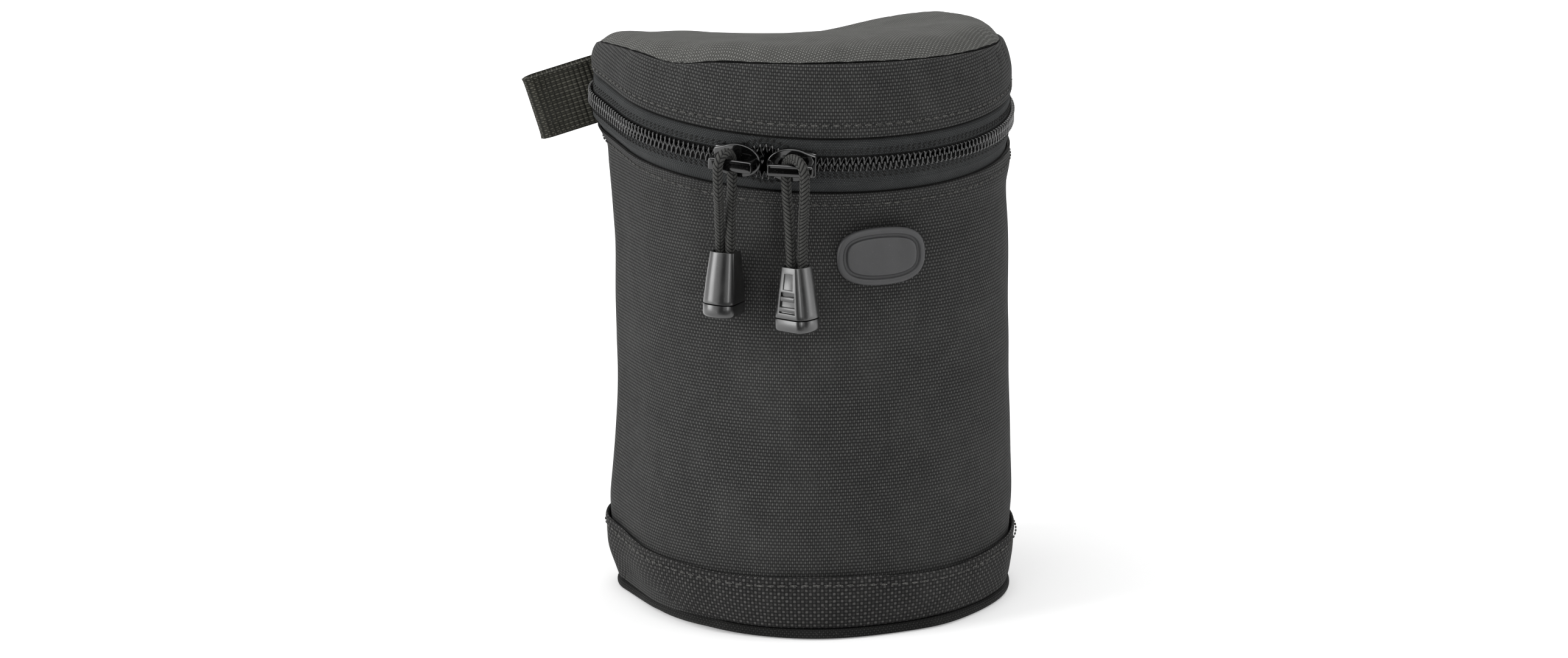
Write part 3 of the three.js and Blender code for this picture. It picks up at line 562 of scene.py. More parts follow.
def rub_group():
    """Where a surface is rubbed or dusty: Rub is soft and broad, Specks are fine."""
    tree, take, give = group("Rub and dust", [("Broad", 40.0), ("Fine", 900.0)], ["Rub", "Specks"])
    vector = take["Vector"]
    feed(tree, give, {"Rub": ramp(tree, noise(tree, vector, take["Broad"], 4.0, 0.6), 0.4, 0.75),
                      "Specks": ramp(tree, noise(tree, vector, take["Fine"], 2.0, 0.7), 0.62, 0.78)})
    return tree


def braid_group():
    """A braided cord's strands: columns that lean one way and the other, in turn."""
    tree, take, give = group("Braided strands", [("Columns", 4.0), ("Pitch", 0.0012), ("Lean", 1.5)],
                             ["Strand", "Edge"])
    parts = put(tree, "ShaderNodeSeparateXYZ", {0: take["Vector"]})
    fold = calc(tree, "PINGPONG", calc(tree, "MULTIPLY", parts.outputs["X"], take["Columns"]), 1.0)
    run = calc(tree, "DIVIDE", parts.outputs["Y"], take["Pitch"])
    phase = calc(tree, "ADD", run, calc(tree, "MULTIPLY", fold, take["Lean"]))
    strand = calc(tree, "ABSOLUTE", calc(tree, "SINE", calc(tree, "MULTIPLY", phase, math.pi)))
    edge = calc(tree, "ABSOLUTE", calc(tree, "SUBTRACT", fold, 0.5))
    feed(tree, give, {"Strand": ramp(tree, strand, 0.1, 0.9), "Edge": ramp(tree, edge, 0.36, 0.5)})
    return tree


WEAVE, RUB, BRAID = weave_group(), rub_group(), braid_group()


def use_group(tree, shared, vector, **values):
    return put(tree, "ShaderNodeGroup", {"Vector": vector, **values}, node_tree=shared).outputs


def new_material(name):
    material = bpy.data.materials.new(name)
    material.use_nodes = True
    tree = material.node_tree
    return material, tree, tree.nodes["Principled BSDF"], tree.nodes.new("ShaderNodeTexCoord").outputs


def bump(tree, height, distance):
    return put(tree, "ShaderNodeBump", {"Height": height, "Distance": distance * MM,
                                        "Strength": 1.0}).outputs["Normal"]


def woven(name, gap, thread, across, up, relief, weft_share=0.35, coordinates="UV"):
    """A woven cloth: dark gaps, lighter floats, uneven tone, raised threads."""
    material, tree, shader, place = new_material(name)
    threads = use_group(tree, WEAVE, place[coordinates], Across=across * MM, Up=up * MM)
    rub = use_group(tree, RUB, place["Object"], Broad=45.0, Fine=1400.0)
    share = calc(tree, "MAXIMUM", threads["Warp"], calc(tree, "MULTIPLY", threads["Weft"], weft_share))
    uneven = ramp(tree, threads["Tone"], 0.25, 0.75, 0.72, 1.12)
    colour = mix(tree, calc(tree, "MULTIPLY", share, uneven), gap, thread)
    dusty = tint(tree, rub["Rub"], 0.05, colour, ink(124, 124, 122))
    feed(tree, shader, {
        "Base Color": tint(tree, rub["Specks"], 0.12, dusty, ink(170, 168, 162)),
        "Roughness": ramp(tree, share, 0.0, 1.0, 0.95, 0.72),
        "Sheen Weight": 0.02, "Sheen Roughness": 0.5, "Specular IOR Level": 0.15,
        "Normal": bump(tree, threads["Height"], relief)})
    return material


def moulded(name, colour, worn, roughness, grain, grain_scale, coat=0.0, coat_roughness=0.1):
    """A moulded or cast piece: uneven gloss, fine grain and rubbed places."""
    material, tree, shader, place = new_material(name)
    rub = use_group(tree, RUB, place["Object"], Broad=120.0, Fine=2500.0)
    rubbed = tint(tree, rub["Rub"], 0.25, colour, worn)
    feed(tree, shader, {
        "Base Color": tint(tree, rub["Specks"], 0.15, rubbed, ink(150, 150, 148)),
        "Roughness": ramp(tree, rub["Rub"], 0.0, 1.0, roughness, roughness * 1.35),
        "Coat Weight": coat, "Coat Roughness": coat_roughness,
        "Normal": bump(tree, noise(tree, place["Object"], grain_scale, 3.0, 0.6), grain)})
    return material


def braided(name):
    material, tree, shader, place = new_material(name)
    strands = use_group(tree, BRAID, place["UV"])
    rub = use_group(tree, RUB, place["Object"], Broad=150.0, Fine=2200.0)
    colour = mix(tree, strands["Strand"], ink(11, 11, 11), ink(62, 62, 60))
    colour = tint(tree, strands["Edge"], 0.7, colour, ink(11, 11, 10))
    feed(tree, shader, {
        "Base Color": tint(tree, rub["Specks"], 0.2, colour, ink(150, 148, 140)),
        "Roughness": ramp(tree, strands["Strand"], 0.0, 1.0, 0.9, 0.6),
        "Sheen Weight": 0.02, "Specular IOR Level": 0.2,
        "Normal": bump(tree, strands["Strand"], 0.1)})
    return material


def brushed(name, colour, fibre):
    """Brushed tricot: a short nap of fine fibres."""
    material, tree, shader, place = new_material(name)
    nap = noise(tree, place["Object"], 1600.0, 5.0, 0.7)
    broad = noise(tree, place["Object"], 60.0, 3.0, 0.5)
    feed(tree, shader, {
        "Base Color": mix(tree, ramp(tree, nap, 0.3, 0.7), colour, fibre),
        "Roughness": ramp(tree, broad, 0.2, 0.8, 0.82, 0.98),
        "Sheen Weight": 0.3, "Normal": bump(tree, nap, 0.12)})
    return material


def cellular(name, colour, pit):
    """Closed-cell foam with its small cells cut open."""
    material, tree, shader, place = new_material(name)
    cells = put(tree, "ShaderNodeTexVoronoi", {"Vector": place["Object"], "Scale": 1100.0})
    depth = ramp(tree, cells.outputs["Distance"], 0.1, 0.6)
    feed(tree, shader, {
        "Base Color": mix(tree, depth, pit, colour),
        "Roughness": ramp(tree, depth, 0.0, 1.0, 1.0, 0.85),
        "Normal": bump(tree, depth, 0.15)})
    return material


BODY_CLOTH = woven("Charcoal body weave", ink(32, 32, 32), ink(85, 85, 84), 0.62, 1.0, 0.16)
BASE_CLOTH = woven("Charcoal base weave", ink(34, 33, 32), ink(78, 76, 74), 0.62, 1.0, 0.14,
                   coordinates="Object")
BAND_CLOTH = woven("Black basket weave", ink(27, 27, 27), ink(82, 81, 80), 1.13, 1.16, 0.3, 0.3)
BINDING_CLOTH = woven("Black binding tape", ink(17, 17, 17), ink(46, 46, 45), 0.6, 0.7, 0.1)
LID_CLOTH = woven("Grey lid weave", ink(62, 62, 60), ink(122, 122, 119), 0.55, 0.7, 0.12)
TAPE_CLOTH = woven("Zipper tape weave", ink(35, 36, 37), ink(76, 78, 78), 0.35, 0.5, 0.07)
# A near-black weave that paints shade: on the tape beside the coil and under the panels' edges, and in the
# lid top's seam groove
PAINTED_SHADE_WEAVE = woven("Painted shade weave", ink(9, 9, 9), ink(24, 24, 24), 0.35, 0.5, 0.07)
WEBBING = woven("Olive black webbing", ink(25, 25, 21), ink(82, 81, 73), 0.7, 0.8, 0.1)
THREAD = woven("Sewing thread", ink(52, 52, 51), ink(122, 121, 118), 0.3, 0.3, 0.05, coordinates="Object")
COIL_THREAD = woven("Black coil thread", ink(22, 22, 22), ink(62, 62, 61), 0.3, 0.3, 0.05,
                    coordinates="Object")
LINING = brushed("Brushed grey lining", ink(70, 71, 73), ink(104, 105, 108))
FOAM = cellular("Cell foam", ink(62, 62, 64), ink(34, 34, 36))
COIL_NYLON = moulded("Black coil nylon", ink(22, 22, 22), ink(44, 44, 44), 0.16, 0.004, 3000.0, 0.6, 0.1)
GLOSS_ENAMEL = moulded("Gloss black enamel", ink(7, 7, 7), ink(16, 16, 16), 0.1, 0.002, 500.0, 0.5, 0.04)
TIP_PLASTIC = moulded("Satin black plastic", ink(17, 17, 17), ink(34, 34, 34), 0.32, 0.006, 1800.0, 1.0, 0.22)
BADGE_RUBBER = moulded("Dark grey rubber", ink(62, 62, 63), ink(90, 90, 91), 0.5, 0.015, 2200.0)
CORD_BRAID = braided("Herringbone braid")


# Pull cords: up from the cord end, round the slider's bridge and down again
def slider_place(slider, along, outward, up):
    sine, cosine = math.sin(slider["angle"]), math.cos(slider["angle"])
    x = outward * sine + slider["facing"] * along * cosine
    y = -outward * cosine + slider["facing"] * along * sine
    return zip_level(up)(np.float64(x), np.float64(y))


def tip_frame(slider):
    angle = slider["tip_angle"]
    away = np.array([math.sin(angle), -math.cos(angle), 0])
    across = np.array([math.cos(angle), math.sin(angle), 0]) * slider["facing"]
    top = away * (CASE_RADIUS + slider["stand_off"]) + [0, 0, ZIPPER_HEIGHT - slider["drop"]]
    return away, across, top


def pull_route(slider):
    away, across, top = tip_frame(slider)

    def turn_point(turn, along):
        outward, up = CORD_LOOP * math.cos(turn), CORD_LOOP * math.sin(turn)
        return slider_place(slider, along, BRIDGE_AXIS + outward, up)

    def leg(end, side):
        foot = top + across * side * (CORD_RADIUS + CLEARANCE / 2) - [0, 0, 3.7]
        entry = np.array([foot[0], foot[1], top[2] + CORD_RADIUS])
        bend = (entry + end) / 2
        drop = (end - [0, 0, 2 * CORD_LOOP]) * 0.8 + bend * 0.2
        return [foot, entry, bend, drop]

    shares = np.arange(7) / 6
    alongs = slider["under"] + (slider["over"] - slider["under"]) * ease(shares, 0, 1)
    loop = [turn_point(math.pi * (1 - s), a) for s, a in zip(shares, alongs)]
    return np.array(leg(loop[0], -1) + loop + leg(loop[-1], 1)[::-1])


def braided_tube(name, route, sides=40, step=0.28):
    """A cord with its strands raised, and a pattern that runs round and along it."""
    rough = through(route, 400)
    length = float(np.linalg.norm(np.diff(rough, axis=0), axis=1).sum())
    count = int(length / step)
    line = through(route, count)
    tangent = unit(np.gradient(line, axis=0))
    side = np.cross(tangent[0], [0, 0, 1.0])
    if np.linalg.norm(side) < 0.1:
        side = np.cross(tangent[0], [0, 1.0, 0])
    frames = []
    for t in tangent:
        side = unit(side - t * np.dot(side, t))
        frames.append(side)
    side = np.array(frames)
    other = np.cross(tangent, side)
    round_share = np.arange(sides) / sides
    along = np.linspace(0, length, count)
    fold = np.abs((round_share * 4 % 2) - 1)
    phase = along[:, None] / 1.2 + fold[None, :] * 1.5
    relief = np.abs(np.sin(math.pi * phase)) ** 0.6 * 0.16 - 0.14
    relief -= 0.1 * ease(np.abs(fold - 0.5), 0.3, 0.5)[None, :]
    turn = round_share * 2 * math.pi
    out = side[:, None] * np.cos(turn)[None, :, None] + other[:, None] * np.sin(turn)[None, :, None]
    grid = line[:, None] + out * (CORD_RADIUS + relief)[..., None]
    across = np.linspace(0, 1, sides + 1) / MM
    made = grid_object(name, grid, across, np.broadcast_to(along[:, None], (count, sides)), True)
    close_ends(made, merge=False)
    return made, line, length


# Rigid pieces are drawn in their own frame and then placed
def pick(obj, kind, test):
    """Selects the vertices, edges or faces that pass the test, in edit mode."""
    bpy.ops.mesh.select_mode(type=kind)
    bpy.ops.mesh.select_all(action="DESELECT")
    sheet = bmesh.from_edit_mesh(obj.data)
    for part in {"VERT": sheet.verts, "EDGE": sheet.edges, "FACE": sheet.faces}[kind]:
        if test(part):
            part.select_set(True)
    bmesh.update_edit_mesh(obj.data)


def pick_faces(obj, test):
    pick(obj, "FACE", lambda face: test(face.calc_center_median(), face.normal))


def pick_edges(obj, test):
    pick(obj, "EDGE", lambda edge: test(edge.verts[0].co, edge.verts[1].co))


def pull_out(x=0.0, y=0.0, z=0.0):
    bpy.ops.mesh.extrude_region_move(TRANSFORM_OT_translate={"value": (x, y, z)})


def shift(z):
    bpy.ops.transform.translate(value=(0, 0, z))


def resize(x, y, z, centre):
    bpy.ops.transform.resize(value=(x, y, z), center_override=centre)


def start_box(name, low, high):
    centre = [(a + b) / 2 for a, b in zip(low, high)]
    bpy.ops.mesh.primitive_cube_add(size=1, location=centre)
    made = bpy.context.active_object
    made.name = name
    made.scale = [b - a for a, b in zip(low, high)]
    bpy.ops.object.transform_apply(location=True, rotation=False, scale=True)
    bpy.ops.object.mode_set(mode="EDIT")
    return made


def join(first, *others):
    choose(first, *others)
    bpy.ops.object.join()


def frame_matrix(*columns):
    """The matrix of a frame from its three axes and its origin."""
    matrix = Matrix.Identity(4)
    for i, column in enumerate(columns):
        for j in range(3):
            matrix[j][i] = float(column[j])
    return matrix


def place_mesh(obj, matrix):
    """Moves a mesh from its own frame in mm to its place in metres."""
    obj.data.transform(Matrix.Scale(MM, 4) @ matrix)
    if matrix.to_3x3().determinant() < 0:
        obj.data.flip_normals()
    obj.data.update()


def slider_plate(name, low, high, length, half_width, tail_half_width):
    """A plate with a round nose at -x and a squared tail at +x, drawn from a disc."""
    middle = (0, (low + high) / 2, 0)
    bpy.ops.mesh.primitive_cylinder_add(vertices=40, radius=half_width, depth=high - low,
                                        location=middle, rotation=(math.pi / 2, 0, 0))
    made = bpy.context.active_object
    made.name = name
    bpy.ops.object.transform_apply(location=True, rotation=True, scale=True)
    bpy.ops.object.mode_set(mode="EDIT")
    take_all()
    resize(length / 2 / half_width, 1, 1, middle)
    tail = length * 0.31
    pick(made, "VERT", lambda vert: vert.co.x > tail)
    resize(0, 1, 1, (length / 2, middle[1], 0))
    reach = half_width * math.sqrt(1 - (tail / (length / 2)) ** 2)
    resize(1, 1, tail_half_width / reach, middle)
    bpy.ops.mesh.remove_doubles(threshold=0.05)
    end_edit()
    return made


def build_slider(side, slider):
    """A slider: two plates, the post between them, the lips that hold the coils and the bridge."""
    top = slider_plate(f"{side}_slider_shape", 62.5, 63.7, 14.5, 5, 3.6)
    soften(top, 0.4, 3, 30)
    back = slider_plate("inner_plate", 57.5, 58.7, 13.3, 4.2, 3)
    soften(back, 0.3, 2, 30)
    post = start_box("post", (-6.2, 58.4, -0.9), (-3, 62.8, 0.9))
    end_edit()
    apply_modifier(post, "BEVEL", width=0.5, segments=2)
    pieces = [back, post]
    for edge in (-1, 1):
        lip = start_box("lip", (-1.5, 60.75, 0), (7.1, 62.7, 0.85))
        take_all()
        shift(4.15 if edge > 0 else -5)
        pick_faces(lip, lambda c, n: n.x > 0.9)
        shift(-1.4 * edge)
        end_edit()
        soften(lip, 0.2, 2)
        pieces.append(lip)
    bridge = start_box("bridge", (-6.6, 63.2, -1.8), (-3.4, 66.4, 1.8))
    for test, pulls in ((lambda c, n: n.y > 0.9, ((0, 1.8), (0, 1.6))),
                        (lambda c, n: n.x > 0.9 and c.y > 68.3, ((8.2, 0), (2.1, 0))),
                        (lambda c, n: n.y < -0.9 and c.x > 4.9, ((0, -1.8), (0, -3.2)))):
        pick_faces(bridge, test)
        for pull in pulls:
            pull_out(*pull)
    end_edit()
    soften(bridge, 0.6, 2, 30)
    apply_modifier(bridge, "SUBSURF", levels=2, render_levels=2)
    join(top, *pieces, bridge)
    top.name = f"{side}_slider_cast"
    origin = slider_place(slider, 0, 0, 0)
    axes = [slider_place(slider, *axis) - origin for axis in ((1, 0, 0), (0, 1, 0), (0, 0, 1))]
    place_mesh(top, frame_matrix(*axes, origin))
    dress(top, GLOSS_ENAMEL, "slider_metal", f"{side}_slider", f"{side}_slider", smooth_angle=35)


def tip_matrix(slider):
    away, across, top = tip_frame(slider)
    turn = slider["turn"]
    face = away * math.cos(turn) + np.cross([0, 0, 1.0], away) * math.sin(turn)
    matrix = frame_matrix(np.cross([0, 0, 1.0], face), face, (0, 0, 1), top)
    hang = Matrix.Translation(top) @ Matrix.Rotation(slider["lean"], 4, (0.378, 0.926, 0))
    return hang @ Matrix.Translation(-Vector(top)) @ matrix


# Cord end: the block that it is cut from, and its (drop, width, depth) down its length
TIP_WIDTH, TIP_DEPTH, TIP_LENGTH = 12.3, 6.2, 15.1
TIP_LEVELS = ((0, 7.8, 7.6), (1.5, 8.25, 7.85), (7, 10.1, 8.95), (13.9, 12.05, 9.95),
              (TIP_LENGTH, TIP_WIDTH, 10.1))


def tip_block(name, low, high):
    """A block with rounded upright edges, left in edit mode."""
    block = start_box(name, (-TIP_WIDTH / 2, -TIP_DEPTH / 2, low), (TIP_WIDTH / 2, TIP_DEPTH / 2, high))
    pick_edges(block, lambda a, b: abs(a.x - b.x) < 1.4 and abs(a.y - b.y) < 1.4 and abs(a.z - b.z) > 0.5)
    bpy.ops.mesh.bevel(offset=2.8, segments=8, affect="EDGES")
    return block


def finish_tip(obj, side, slider, node):
    place_mesh(obj, tip_matrix(slider))
    dress(obj, TIP_PLASTIC, "cord_end_plastic", f"{side}_pull", node, smooth_angle=40)


def build_tip(side, slider):
    """A cord end: a tapering block with a socket, a pane and a window with two ribs, and its cap."""
    tip = tip_block(f"{side}_cord_end_moulding", -TIP_LENGTH, 0)
    for drop, _, _ in TIP_LEVELS[1:-1]:
        take_all()
        bpy.ops.mesh.bisect(plane_co=(0, 0, -drop), plane_no=(0, 0, 1))
    for drop, wide, deep in TIP_LEVELS:
        pick(tip, "VERT", lambda vert: abs(vert.co.z + drop) < 0.01)
        resize(wide / TIP_WIDTH, deep / TIP_DEPTH, 1, (0, 0, -drop))
    pick_faces(tip, lambda c, n: n.y > 0.9 and abs(n.x) < 0.02 and -13.9 < c.z < -7)
    bpy.ops.mesh.inset(thickness=0.35)
    pull_out(y=-0.8)
    pick_faces(tip, lambda c, n: n.y > 0.9 and abs(n.x) < 0.02 and -7 < c.z < -1.5)
    bpy.ops.mesh.inset(thickness=0.4)
    resize(0.75, 1, 1, (0, 0, -4))
    pull_out(y=-0.3)
    pick_faces(tip, lambda c, n: n.z > 0.9 and c.z > -0.1)
    bpy.ops.mesh.inset(thickness=0.7)
    pull_out(z=-4)
    end_edit()
    soften(tip, 0.2, 3, 50)
    ribs = []
    for drop, half_width, floor in ((9.3, 2.7, 3.75), (12.4, 3.2, 3.95)):
        rib = start_box("rib", (-half_width, floor, -drop - 0.75), (half_width, floor + 0.9, -drop + 0.75))
        end_edit()
        soften(rib, 0.35, 3)
        ribs.append(rib)
    join(tip, *ribs)
    finish_tip(tip, side, slider, f"{side}_cord_end")
    cap = tip_block(f"{side}_cord_cap_moulding", -TIP_LENGTH - 4.3, -TIP_LENGTH - 0.3)
    take_all()
    resize(1, TIP_LEVELS[-1][2] / TIP_DEPTH, 1, (0, 0, 0))
    pick_edges(cap, lambda a, b: max(a.z, b.z) < -TIP_LENGTH - 4.2)
    bpy.ops.mesh.bevel(offset=1.4, segments=5, affect="EDGES")
    end_edit()
    soften(cap, 0.2, 2, 50)
    finish_tip(cap, side, slider, f"{side}_cord_cap")
    return tip, cap


for side_name, side_slider in (("left", LEFT), ("right", RIGHT)):
    build_slider(side_name, side_slider)
    cord_tip, cord_cap = build_tip(side_name, side_slider)
    pull_cord, cord_line, cord_length = braided_tube(f"{side_name}_pull_braid", pull_route(side_slider))
    dress(pull_cord, CORD_BRAID, "cord_braid", f"{side_name}_pull", f"{side_name}_pull_cord", smooth_angle=0)


# Base: stiff panel covered in cloth, its binding and the band round the foot
def build_base():
    runs = round_runs(240)
    edge = ring(runs[:-1], -4.4, flat(0))
    outline = ((0.02, 0.15), (0.35, 0.12), (0.7, 0.1), (0.95, 0.05), (1, 0.25),
               (1, 0.95), (0.95, 1.2), (0.7, 1.2), (0.35, 1.2), (0.02, 1.2))
    grid = np.stack([edge * [share, share, 0] + [0, 0, height] for share, height in outline])
    base = grid_object("base_cloth", grid, runs, grid[..., 1], True)
    close_ends(base, merge=False)
    dress(base, BASE_CLOTH, "body_cloth", "case", "base_panel")

    def wavy(run, rise):
        lip = (0.9 * hump(run, -22, 16) + 0.8 * hump(run, 16, 10)) * ease(rise, 1.5, 3.5)
        return 0.35 * waves(run, 0, 3, longest=60) * ease(rise, 0.5, 3) + lip - 2.2 * hump(run, -92, 34)

    table = rows_at(foot_level, (-3.9, 0.15), (-1.6, 0.12, 0, 0.8), (-0.9, 0.5, 0, 1), (-0.6, 1.4, 0, 1),
                    (-0.8, 2.4, 0, 0.9), (-1.6, 2.85, 0, 0.8), (-3.6, 2.7, 0, 0.4))
    binding = round_shell("base_binding_cloth", table, 22, 300, shape=wavy, thickness=THIN_CLOTH)
    dress(binding, BINDING_CLOTH, "band_cloth", "case", "base_binding")

    def slack(run, rise):
        tuck = 2.2 * hump(run, -92, 34) * (1 - ease(rise, 2, 13))
        return (0.35 * waves(run, rise, 5, longest=70) * ease(rise, 1, 8)
                + 0.15 * waves(run, 0, 9, longest=24) - tuck)

    table = rows_at(foot_level, (-2, 3.2, 0, 0.8), (-1.2, 3.5, 0, 0.8), (-0.6, 5, 0, 0.6), (0.1, 8, 0.1, 0.4),
                    (0.7, 11.5, 0.4, 0.2), (1, 15, 0.7), (1.1, 17.4, 1), (1.2, 18.4, 1), (1.35, 19.4, 1),
                    (1.3, 20.6, 1), (1, 21.2, 1), (0.6, 20.9, 1), (0.35, 19.4, 1))
    band = round_shell("foot_band_cloth", table, 46, 400, shape=slack, thickness=0.9)
    dress(band, BAND_CLOTH, "band_cloth", "case", "base_band")


def padding(run, rise):
    """The padded wall's soft rise and fall, flat at its foot and at its top edge."""
    calm = ease(rise, 3, 24) * (1 - ease(rise, 108, 124))
    return 0.45 * waves(run, rise, 11) * calm + 0.1 * waves(run, rise, 12, longest=30, upright=20) * calm


def build_walls():
    table = (rows_at(flat, (-2.6, 3.6), (-1.6, 8), (-1, 12), (-0.67, 18), (-0.33, 24), (0, FOOT_RISE),
                     (0, 50), (0, WAIST_LOW), (0, 80), (0, 100), (0.05, 114))
             + rows_at(zip_level, (0.5, -22), (1.3, -15), (2, -11.8), (2.5, -9.9), (2.6, -9.4),
                       (2.3, -9.15), (1.7, -9.6)))
    front = round_shell("front_cloth", table, 96, 300, ends=(-PANEL_END, PANEL_END), shape=padding,
                        thickness=CLOTH)
    dress(front, BODY_CLOTH, "body_cloth", "case", "front_panel")
    runs, folded = back_runs(PANEL_END + 0.3, 61)
    grid = through(rings(folded, table), 90)
    rise = climbed(grid)
    grid[..., 1] += padding(runs[None], rise) * 0.8
    back = grid_object("back_cloth", grid, runs, rise)
    thicken(back, CLOTH)
    dress(back, BODY_CLOTH, "body_cloth", "case", "back_panel")


# Zipper: where along it a run lies, and how far the coils stand apart between the sliders
def run_at(travel):
    side, far = np.sign(travel), np.abs(travel)
    arc = ZIPPER_RADIUS * math.pi / 2
    on_arc = np.minimum(far, arc) * CASE_RADIUS / ZIPPER_RADIUS
    on_side = np.clip(far - arc, 0, SIDE)
    on_corner = np.maximum(far - arc - SIDE, 0) * CORNER_RADIUS / (CORNER_RADIUS + COIL_OUTER)
    return side * (on_arc + on_side + on_corner)


def spread_at(run):
    travel = np.asarray(run) * ZIPPER_RADIUS / CASE_RADIUS
    near = OPEN_REACH - np.abs(travel - OPEN_CENTRE * ZIPPER_RADIUS)
    return OPEN_SPREAD * ease(near, 0, OPEN_REACH)


# One tooth's centreline, out and back over a pitch: (share of the pitch, outward, rise)
TOOTH = np.array([(0, 4.3, -1.9), (0.04, 4.3, -1.2), (0.1, 4.25, -0.5), (0.2, 4.05, 0.05), (0.3, 3.75, 0.1),
                  (0.4, 3.5, -0.05), (0.5, 3.4, -0.7), (0.64, 3.38, -1.4), (0.8, 3.42, -1.9),
                  (0.92, 3.9, -2.05)])


def build_coil(name, side, node, body):
    reach = ZIPPER_RADIUS * math.pi / 2 + SIDE + (CORNER_RADIUS + COIL_OUTER) * math.pi / 4
    teeth = int(2 * reach / COIL_PITCH) - 1
    start = -teeth * COIL_PITCH / 2 + (COIL_PITCH / 2 if side > 0 else 0)
    travel = (start + np.arange(teeth)[:, None] * COIL_PITCH + TOOTH[None, :, 0] * COIL_PITCH).ravel()
    out, rise = np.tile(TOOTH[:, 1], teeth), np.tile(TOOTH[:, 2], teeth)
    run = run_at(travel)
    foot, normal = station(run)
    plan = foot + out[:, None] * normal
    line = zip_level(-side * (rise - spread_at(run)))(plan[:, 0], plan[:, 1])
    tangent = unit(np.gradient(line, axis=0))
    level = unit(np.cross(outward_at(run), [0, -TILT_SINE, TILT_COSINE]))
    first = unit(level - tangent * (level * tangent).sum(axis=1, keepdims=True))
    second = np.cross(tangent, first)
    sides = 6
    turn = np.arange(sides) * 2 * math.pi / sides
    thick = np.where(rise > -0.2, 0.38, 0.29)[:, None, None]
    grid = line[:, None] + thick * (first[:, None] * np.cos(turn)[None, :, None]
                                    + second[:, None] * np.sin(turn)[None, :, None])
    along = np.broadcast_to(travel[:, None], (len(line), sides))
    made = grid_object(name, grid, np.linspace(0, 1, sides + 1), along, True)
    close_ends(made)
    dress(made, COIL_NYLON, "zipper_coil", body, node, smooth_angle=0)


def build_zipper():
    def tape_top(share):
        return between(zip_level(LID_EDGE), seam(0), share)

    lower = (rows_at(zip_level, (0.1, -15), (1, -11), (1.5, -9.2), (2.1, -7.8), (2.6, -6.6), (3, -6.1))
             + rows_at(zip_spread, (2.9, -5.6, 0.05), (2.98, -4.2, 0.5), (3.06, -3, 0.8), (3.06, -0.95, 1)))
    upper = (rows_at(zip_spread, (3.06, 0.95, 1), (3.06, 3, 0.8), (2.98, 4.2, 0.5), (2.9, 5.6, 0.05))
             + rows_at(zip_level, (2.95, 6.2), (2.5, 6.8), (1.9, 7.9))
             + rows_at(tape_top, (1.8, 0.15), (1.7, 0.3)))
    for name, table, node, body in (("lower_tape_cloth", lower, "lower_tape", "case"),
                                    ("upper_tape_cloth", upper, "upper_tape", "lid")):
        tape = round_shell(name, table, 34, 380, ends=(-ZIPPER_END, ZIPPER_END), thickness=THIN_CLOTH)
        dress(tape, TAPE_CLOTH, "zipper_tape", body, node)
        tape.data.materials.append(PAINTED_SHADE_WEAVE)
        # Painted shade: the tape is painted near black beside the coil, where the inside of the coil is in
        # shade, and in thin strips where it meets its panel, where the panel's edge shades it
        for face in tape.data.polygons:
            depth = ZIPPER_HEIGHT * TILT_COSINE - np.dot(face.center / MM, (0, -TILT_SINE, TILT_COSINE))
            if abs(depth) < 2.5 or depth > 9.1 or -8.3 < depth < -7.0:
                face.material_index = 1
    build_coil("lower_coil_filament", -1, "lower_coil", "case")
    build_coil("upper_coil_filament", 1, "upper_coil", "lid")

    def sagging(rise, share):
        return between(zip_level(rise), lid_level(rise), share)

    runs, folded = back_runs(ZIPPER_END + 0.1, 121)
    table = (rows_at(zip_level, (0.1, -15), (1.3, -9), (2.6, -5.8), (2.9, -2.5), (3, 0))
             + rows_at(sagging, (2.9, 2.5, 0.4), (2.7, 5.8, 0.8))
             + [(1.9, lid_level(LID_EDGE)), (1.7, lid_side(0.3))])
    grid = through(rings(folded, table), 60)
    hinge = grid_object("hinge_cloth", grid, runs, climbed(grid))
    thicken(hinge, THIN_CLOTH)
    dress(hinge, BODY_CLOTH, "body_cloth", None, "hinge_fabric")
    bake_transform(hinge)


def lid_swell(x, y):
    """How far the top cloth swells above the seam, away from its rolled edge."""
    across = x / CASE_RADIUS
    back = np.maximum(y, 0) / BACK_DISTANCE
    return (SWELL + SWELL_LEAN * across + SWELL_CORNERS * across ** 4
            - back ** 2 * (1.3 + 1.2 * hump(x, -6, 26)) + SWELL_FRONT * (1 - ease(y, -42, -2)))


